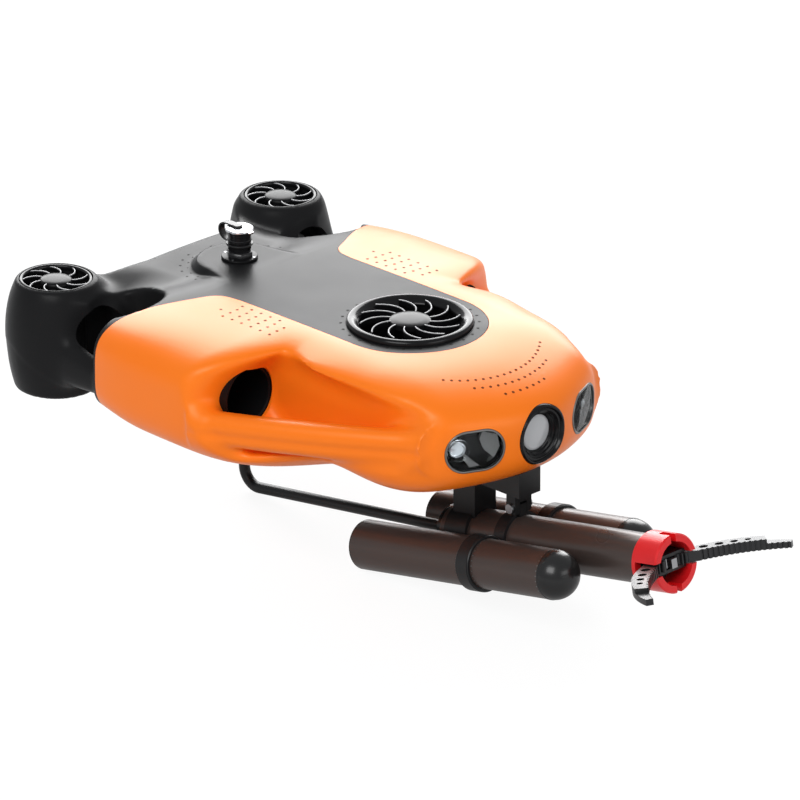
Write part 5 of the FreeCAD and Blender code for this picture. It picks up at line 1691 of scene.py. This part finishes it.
@dataclass
class Connector(Assembly):
    """The tether connector on its ledge: flange with screws, hexagon, knurled ring, cap and strap."""

    trees: Trees
    spot: tuple[float, float] = (-178.0, 0.0)
    ledge: float = -5.2
    bore: float = 7.5
    flange_r: float = 13.6
    hex_r: float = 10.3
    hex_turn: float = 0.4
    ribs: int = 36
    screw_ring: float = 11.9
    strap_half: float = 2.9

    def build(self) -> None:
        """Builds the connector, its cap and its strap."""
        place = Matrix.Translation((*self.spot, self.ledge))
        self.base(place)
        self.cap(place)
        self.strap(place)

    def base(self, place: Matrix) -> None:
        """Adds the flange with its screws, the hexagon and the knurled ring.

        Args:
            place: The connector's frame.
        """
        (x, y), b, r = self.spot, self.bore, self.flange_r
        flange = lathe("connector_flange", [(b, 0), (r, 0), (r, 1.6), (13.0, 2.3), (11.6, 2.6), (b, 2.6)],
                       place, 72)
        self.put(flange, "black_mould", "connector_body", "connector_base")
        six = [(self.hex_r * math.cos(math.pi * i / 3 + self.hex_turn),
                self.hex_r * math.sin(math.pi * i / 3 + self.hex_turn)) for i in range(6)]
        nut = extrude("connector_nut", six, 2.6, 6.4, place)
        cut(nut, lathe("tool", [(0, 0), (b, 0), (b, 9), (0, 9)], place, 48))
        cone = lathe("tool", [(0, 0), (11.4, 0), (11.4, 5.2), (9.4, 6.6), (9.4, 9), (0, 9)], place, 48)
        cut(nut, cone, "INTERSECT")
        self.put(nut, "plug_metal", "connector_metal")
        ring = lathe("connector_ring", [(b, 6.4), (8.7, 6.4), (8.7, 7.2), (8.1, 7.6), (8.1, 9.8), (8.7, 10.2),
                                        (8.7, 11.3), (b, 11.3)], place, 60)
        self.put(ring, "plug_metal", "connector_metal")
        rib = extrude("connector_ribs", [(8.0, -0.28), (8.65, -0.2), (8.65, 0.2), (8.0, 0.28)], 7.5, 9.9, place)
        self.trees.round_all(rib, self.ribs, (x, y, 0), (0, 0, 1), self.palette["plug_metal"])
        self.put(rib, "plug_metal", "connector_metal")
        turn = [math.radians(a) for a in (20, 110, 200, 290)]
        spots = [(x + self.screw_ring * math.cos(a), y + self.screw_ring * math.sin(a), self.ledge + 2.3)
                 for a in turn]
        self.trees.stamp_all("connector_screws", np.array(spots), np.tile((0, 0, 1), (4, 1)), 0.85, 1.2,
                             self.palette["bright_metal"], "connector_metal", sides=16)

    def cap(self, place: Matrix) -> None:
        """Adds the dust cap, which rides on its own body.

        Args:
            place: The connector's frame.
        """
        body = [(7.5, 13.6), (8.7, 13.6), (9.0, 14.0), (9.0, 15.6), (8.6, 16.0), (8.6, 19.0), (9.0, 19.4),
                (9.0, 21.0), (9.8, 21.6), (9.8, 22.6), (7.4, 22.6)]
        self.put(lathe("cap_body", body, place, 64), "plug_metal", "connector_metal", "connector_cap",
                 body=Body.CAP)
        plate = [(0, 22.3), (9.9, 22.3), (10.3, 22.7), (10.3, 23.7), (9.9, 24.3), (0, 24.4)]
        self.put(lathe("cap_plate", plate, place, 72), "bright_metal", "connector_metal", body=Body.CAP)
        tab = [(8.5, -2.4), (12.2, -2.4), (13.2, -1.4), (13.2, 1.4), (12.2, 2.4), (8.5, 2.4)]
        self.put(extrude("cap_tab", tab, 22.7, 24.0, place), "bright_metal", "connector_metal", body=Body.CAP)

    def strap(self, place: Matrix) -> None:
        """Adds the flat strap, whose upper end reaches the cap.

        Args:
            place: The connector's frame.
        """
        x, y = self.spot
        low, high, half = self.ledge + 12.0, self.ledge + 25.2, self.strap_half
        line = [(x - 8.6, low), (x - 12.5, low), (x - 16.4, low + 1.4), (x - 18.9, low + 4.8),
                (x - 19.0, low + 9.0), (x - 16.4, high - 1.0), (x - 12.0, high), (x - 7.0, high), (x - 2.0, high)]
        rounded = np.array(smooth_line(line))
        route = np.column_stack([rounded[:, 0], np.full(len(rounded), y), rounded[:, 1]])
        section = [(-0.6, -half), (-0.6, half), (0.5, half), (0.65, half - 0.5), (0.65, -half + 0.5), (0.5, -half)]
        band = sweep("strap_band", route, section, (0, 1, 0))
        eye = lathe("strap_eye", [(7.5, 11.4), (9.8, 11.4), (10.2, 11.8), (10.2, 12.3), (9.8, 12.7), (7.5, 12.7)],
                    place, 60)
        button = lathe("strap_button", [(0, 24.6), (3.4, 24.6), (3.7, 25.0), (3.7, 25.5), (3.2, 26.0), (0, 26.1)],
                       place @ Matrix.Translation((-2, 0, 0)), 40)
        self.put(eye, "strap_rubber", "strap")
        self.put(button, "strap_rubber", "strap", body=Body.CAP)
        band.data.materials.append(self.palette["strap_rubber"])
        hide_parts("cap_strap")
        start, end = FRAME.row(np.array([(x - 19, y, low + 1), (x - 19, y, high - 1)]))
        tuple(start)
        tuple(end)
        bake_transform(band)
        log.info("%s: %d faces across %s and %s", band.name, len(band.data.polygons), Body.HULL.value,
                 Body.CAP.value)


# ------------------------------------------------------------------ dots


@dataclass
class Dots(Assembly):
    """Small blind holes in the hull, drawn as dark pegs whose colour is painted shade for each hole's inside: arcs
    on the nose, grids beside the deck, arcs round the ledge and bezel.
    """

    trees: Trees
    form: HullForm
    radius: float = 1.12
    sunk: float = 0.9
    rise: float = 0.07
    nose_arcs: tuple[tuple[float, float, int, float], ...] = (
        (27.5, 75.3, 19, 41.6), (28.3, 83.1, 13, 26.4), (28.8, 91.0, 7, 12.6))
    side_rows: tuple[tuple[float, float, int], ...] = (
        (64.6, -70.0, 5), (71.6, -58.5, 6), (78.8, -58.5, 7), (86.4, -58.5, 6))
    side_step: float = 9.75
    ledge_x: float = -178.0
    ledge_arcs: tuple[tuple[float, float, int, float], ...] = ((38.2, 98.0, 6, 15.5), (43.8, 92.0, 7, 14.5))
    bezel_ring: tuple[float, int, float] = (50.6, 26, 5.0)

    def drop(self, flat: Points) -> tuple[Points, Points]:
        """Drops plan points onto the hull's top.

        Args:
            flat: X and Y of each point.

        Returns:
            The points on the surface and the direction that it faces there.
        """
        level = leaves(lambda z: self.form.whole(np.column_stack([flat, z])) < 0, -45.0, 6.0, len(flat), 26)
        points = np.column_stack([flat, level])
        value, nudge = self.form.whole(points), 0.3
        slope = np.stack([self.form.whole(points + d) - value for d in nudge * np.eye(3)], 1)
        return points, slope / np.linalg.norm(slope, axis=1)[:, None]

    def group(self, name: str, flat: Sequence[tuple[float, float]], look: str, slot: str,
              radius: float) -> None:
        """Makes one group of dots.

        Args:
            name: The piece's name.
            flat: X and Y of each dot.
            look: Its finish.
            slot: The record's material slot, passed on to stamp_all, which does not use it.
            radius: Radius of a dot in millimetres.
        """
        points, facing = self.drop(np.array(flat, float))
        # Each peg stands just proud of the surface; its dark colour is painted shade in place of the hole's depth.
        self.trees.stamp_all(name, points - facing * (self.sunk / 2 - self.rise), facing, radius, self.sunk,
                             self.palette[look], slot, sides=14)

    def build(self) -> None:
        """Makes every group."""
        arcs = []
        for centre, radius, count, half in self.nose_arcs:
            for a in np.radians(np.linspace(-half, half, count)):
                arcs.append((centre + radius * math.cos(a), radius * math.sin(a)))
        self.group("nose_dots", arcs, "hole_shade_brown", "orange_shell", self.radius)
        for side, sign in SIDES:
            grid = [(start - self.side_step * i, sign * y)
                    for y, start, count in self.side_rows for i in range(count)]
            self.group("side_dots_" + side, grid, "hole_shade_brown", "orange_shell", self.radius)
            turns = [(radius, math.radians(first + step * i))
                     for radius, first, count, step in self.ledge_arcs for i in range(count)]
            ledge = [(self.ledge_x + r * math.cos(a), sign * r * math.sin(a))
                     for r, a in turns if r * math.sin(a) > 2]
            self.group("ledge_dots_" + side, ledge, "hole_shade_black", "black_shell", 0.95)
        radius, count, first = self.bezel_ring
        turn = np.radians(np.arange(count) * 360 / count + first)
        bezel = np.column_stack([radius * np.cos(turn), radius * np.sin(turn)])
        self.group("bezel_dots", bezel, "hole_shade_black", "black_shell", 1.15)


# ------------------------------------------------------------------ arm and floats


@dataclass
class Floats(Assembly):
    """Details of the two floats: perforation lines, band edges and the seam of each dome."""

    trees: Trees
    tube_r: float = 18.5
    float_y: float = 39.8
    float_drop: float = 6.6
    rings: tuple[float, ...] = (56.0, 72.2, 138.4)
    bands: tuple[tuple[float, float], ...] = ((57.4, 59.0), (69.0, 70.6))
    ring_holes: int = 30
    ring_end: float = 348.0

    def ring_points(self, u: float, side: int) -> tuple[Points, Points]:
        """Points round a float tube.

        Args:
            u: Place along the arm.
            side: 1 for port and -1 for starboard.

        Returns:
            Hull points and directions.
        """
        count = self.ring_holes
        turn = np.radians(np.linspace(0, self.ring_end, count))
        out = np.column_stack([np.zeros(count), np.cos(turn), np.sin(turn)])
        centre = np.array([u, side * self.float_y, -self.float_drop])
        points = FRAME.arm(centre + out * (self.tube_r - 0.35))
        return points, FRAME.arm(centre + out * (self.tube_r + 1)) - points

    def float_frame(self, side: int) -> Matrix:
        """A float's frame: its Z runs forward along the tube.

        Args:
            side: 1 for port and -1 for starboard.

        Returns:
            The frame in the hull frame.
        """
        y, z = side * self.float_y, -self.float_drop
        start, ahead = FRAME.arm(np.array([(0, y, z), (1, y, z)]))
        return axes(start, (0, 1, 0), ahead - start)

    def build(self) -> None:
        """Builds the details."""
        for name, side in SIDES:
            points, facing = zip(*[self.ring_points(u, side) for u in self.rings])
            self.trees.stamp_all("float_perforation_" + name, np.concatenate(points), np.concatenate(facing),
                                 0.55, 1.0, self.palette["bezel_metal"], "tube", sides=8)
            place = self.float_frame(side)
            for number, (low, high) in enumerate(self.bands):
                rim = [(18.6, low), (20.3, low), (20.9, (low + high) / 2), (20.3, high), (18.6, high)]
                self.put(lathe(f"float_band_{number}_{name}", rim, place, 72, 30), "bracket_black", "bracket")
            seam = [(18.52, 139.0), (18.72, 139.2), (18.72, 140.4), (18.5, 140.6)]
            self.put(lathe(f"float_seam_{name}", seam, place, 72, 30), "cap_black", "tube_cap")


# ------------------------------------------------------------------ stage


@dataclass
class Studio:
    """Camera, lights, floor and white surroundings."""

    azimuth: float = 45.0
    elevation: float = 23.0
    lens: float = 600.0
    distance: float = 9.733
    look_at: tuple[float, float, float] = (-0.0025, -0.0219, 0.1327)
    aim: tuple[float, float, float] = (0.0, 0.0, 0.1)
    soft_light: float = 0.4
    soft_color: tuple[float, float, float] = (0.92, 0.95, 1.0)
    glossy_white: float = 0.3
    floor_half: float = 6.0
    floor_z: float = -0.0005
    floor_grey: float = 0.62
    floor_white: float = 0.82
    floor_glow: float = 1.12

    def camera(self) -> None:
        """Places the camera."""
        data = bpy.data.cameras.new("camera")
        data.lens = self.lens
        data.clip_end = 50
        cam = bpy.data.objects.new("camera", data)
        bpy.context.scene.collection.objects.link(cam)
        a, e = math.radians(self.azimuth), math.radians(self.elevation)
        back = Vector((math.sin(a) * math.cos(e), -math.cos(a) * math.cos(e), math.sin(e)))
        cam.location = Vector(self.look_at) + back * self.distance
        cam.rotation_euler = back.to_track_quat("Z", "Y").to_euler()
        bpy.context.scene.camera = cam

    def area(self, name: str, spot: Sequence[float], size: tuple[float, float], power: float) -> None:
        """Adds one soft lamp that points at the object.

        Args:
            name: The lamp's name.
            spot: Where it stands.
            size: Its width and height in metres.
            power: Watts.
        """
        data = bpy.data.lights.new(name, "AREA")
        data.shape = "RECTANGLE"
        data.size, data.size_y = size
        data.energy = power
        obj = bpy.data.objects.new(name, data)
        bpy.context.scene.collection.objects.link(obj)
        obj.location = spot
        obj.rotation_euler = (Vector(spot) - Vector(self.aim)).to_track_quat("Z", "Y").to_euler()

    def seen(self, tree: bpy.types.NodeTree) -> bpy.types.Node:
        """Adds what tells the rays that show the white surroundings.

        Args:
            tree: Nodes of the material or world.

        Returns:
            A node whose value is 1 for camera and transmission rays, and a share of it for glossy ones.
        """
        path = add_node(tree, "ShaderNodeLightPath")
        last, name = path, "Is Camera Ray"
        for ray, share in (("Is Glossy Ray", self.glossy_white), ("Is Transmission Ray", 1.0)):
            part = add_node(tree, "ShaderNodeMath", {1: share}, operation="MULTIPLY")
            either = add_node(tree, "ShaderNodeMath", operation="MAXIMUM")
            wire(tree, (path, ray, part, 0), (last, name, either, 0), (part, "Value", either, 1))
            last, name = either, "Value"
        return last

    def world(self) -> None:
        """Makes the surroundings white to the camera and to reflections, and a soft light to the rest."""
        world = bpy.data.worlds.new("surroundings")
        world.use_nodes = True
        bpy.context.scene.world = world
        tree = world.node_tree
        tree.nodes.clear()
        soft = add_node(tree, "ShaderNodeBackground",
                        {"Color": (*self.soft_color, 1), "Strength": self.soft_light})
        white = add_node(tree, "ShaderNodeBackground", {"Color": (1, 1, 1, 1), "Strength": 1.0})
        mix, out = add_node(tree, "ShaderNodeMixShader"), add_node(tree, "ShaderNodeOutputWorld")
        wire(tree, (self.seen(tree), "Value", mix, "Fac"), (soft, "Background", mix, 1),
             (white, "Background", mix, 2), (mix, "Shader", out, "Surface"))

    def floor(self) -> None:
        """Lays a pale floor that keeps the object's shadow."""
        mesh = bpy.data.meshes.new("floor")
        h, z = self.floor_half, self.floor_z
        mesh.from_pydata([(-h, -h, z), (h, -h, z), (h, h, z), (-h, h, z)], [], [(0, 1, 2, 3)])
        obj = bpy.data.objects.new("floor", mesh)
        bpy.context.scene.collection.objects.link(obj)
        material = bpy.data.materials.new("pale_floor")
        material.use_nodes = True
        tree = material.node_tree
        shader = tree.nodes["Principled BSDF"]
        set_values(shader, Base_Color=(*[self.floor_grey] * 3, 1), Roughness=0.9, Specular_IOR_Level=0.1)
        share = add_node(tree, "ShaderNodeMath", {1: self.floor_white}, operation="MULTIPLY")
        glow = add_node(tree, "ShaderNodeEmission", {"Color": (1, 1, 1, 1), "Strength": self.floor_glow})
        mix = add_node(tree, "ShaderNodeMixShader")
        wire(tree, (self.seen(tree), "Value", share, 0), (share, "Value", mix, "Fac"),
             (shader, "BSDF", mix, 1), (glow, "Emission", mix, 2),
             (mix, "Shader", tree.nodes["Material Output"], "Surface"))
        mesh.materials.append(material)

    def build(self) -> None:
        """Sets the whole stage."""
        self.camera()
        self.world()
        self.floor()
        self.area("rear_wall", (-2.6, 2.6, 2.0), (4.2, 2.8), 270)
        self.area("key", (0.9, -2.6, 2.4), (2.0, 1.6), 64)
        self.area("side_fill", (2.8, 0.2, 1.0), (1.6, 1.2), 14)
        bpy.context.scene.view_settings.view_transform = "Standard"


# ------------------------------------------------------------------ carried-over nodes


class Dressing:
    """Finishes for the CAD nodes that stay as they are."""

    LOOKS: dict[str, str] = {
        "front_motor": "motor_can", "front_propeller": "blade_plastic", "pod_motor": "motor_can",
        "pod_propeller": "blade_plastic", "side_motor": "motor_can", "side_propeller": "gloss_black",
        "front_guard": "gloss_black", "front_lower_guard": "gloss_black", "pod_guard": "gloss_black",
        "camera_bezel": "gloss_black", "camera_barrel": "gloss_black", "camera_lens": "clear_glass",
        "lamp_bezel": "bezel_metal", "lamp_window": "clear_glass", "lamp_reflector": "gloss_black",
        "connector_base": "plug_metal", "connector_socket": "plug_metal", "connector_cap": "bright_metal",
        "cap_strap": "strap_rubber", "battery_pack": "inner_case", "electronics_bay": "inner_case",
        "arm_hanger": "bracket_black", "arm_fork": "bracket_black", "fork_pin": "machined_steel",
        "float_yoke": "bracket_black", "stay_rod": "bracket_black", "arm_tube": "tube_brown",
        "arm_cap": "cap_black", "gripper_collar": "red_anodised", "gripper_frame": "jaw_coat",
        "gripper_motor": "inner_case", "gripper_rack": "machined_steel", "float_tube": "tube_brown",
        "float_dome": "cap_black", "float_cap": "cap_black", "jaw": "jaw_coat"}
    OTHER: str = "black_mould"

    def __init__(self, frame: dict, palette: Palette) -> None:
        """Keeps the frame and the materials."""
        self.frame = frame
        self.palette = palette

    def build(self) -> None:
        """Gives every CAD node its material."""
        for name, obj in self.frame["nodes"].items():
            stem = name.rsplit("_", 1)[0] if name.endswith(("_port", "_starboard")) else name
            look = self.LOOKS.get(stem, self.OTHER)
            if not obj.material_slots:
                obj.data.materials.append(self.palette[look])
            for slot in obj.material_slots:
                slot.material = self.palette[look]


def main() -> None:
    """Builds the dressed vehicle."""
    logging.basicConfig(level=logging.INFO, format="%(name)s %(message)s")
    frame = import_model()
    Studio().build()
    palette = Palette()
    Dressing(frame, palette).build()
    hull = Hull(palette)
    hull.build()
    trees = Trees()
    Guards(palette, trees).build()
    Lamps(palette, hull).build()
    Eye(palette, hull).build()
    Connector(palette, trees).build()
    Dots(palette, trees, hull.form).build()
    Floats(palette, trees).build()


if __name__ == "__main__":
    main()
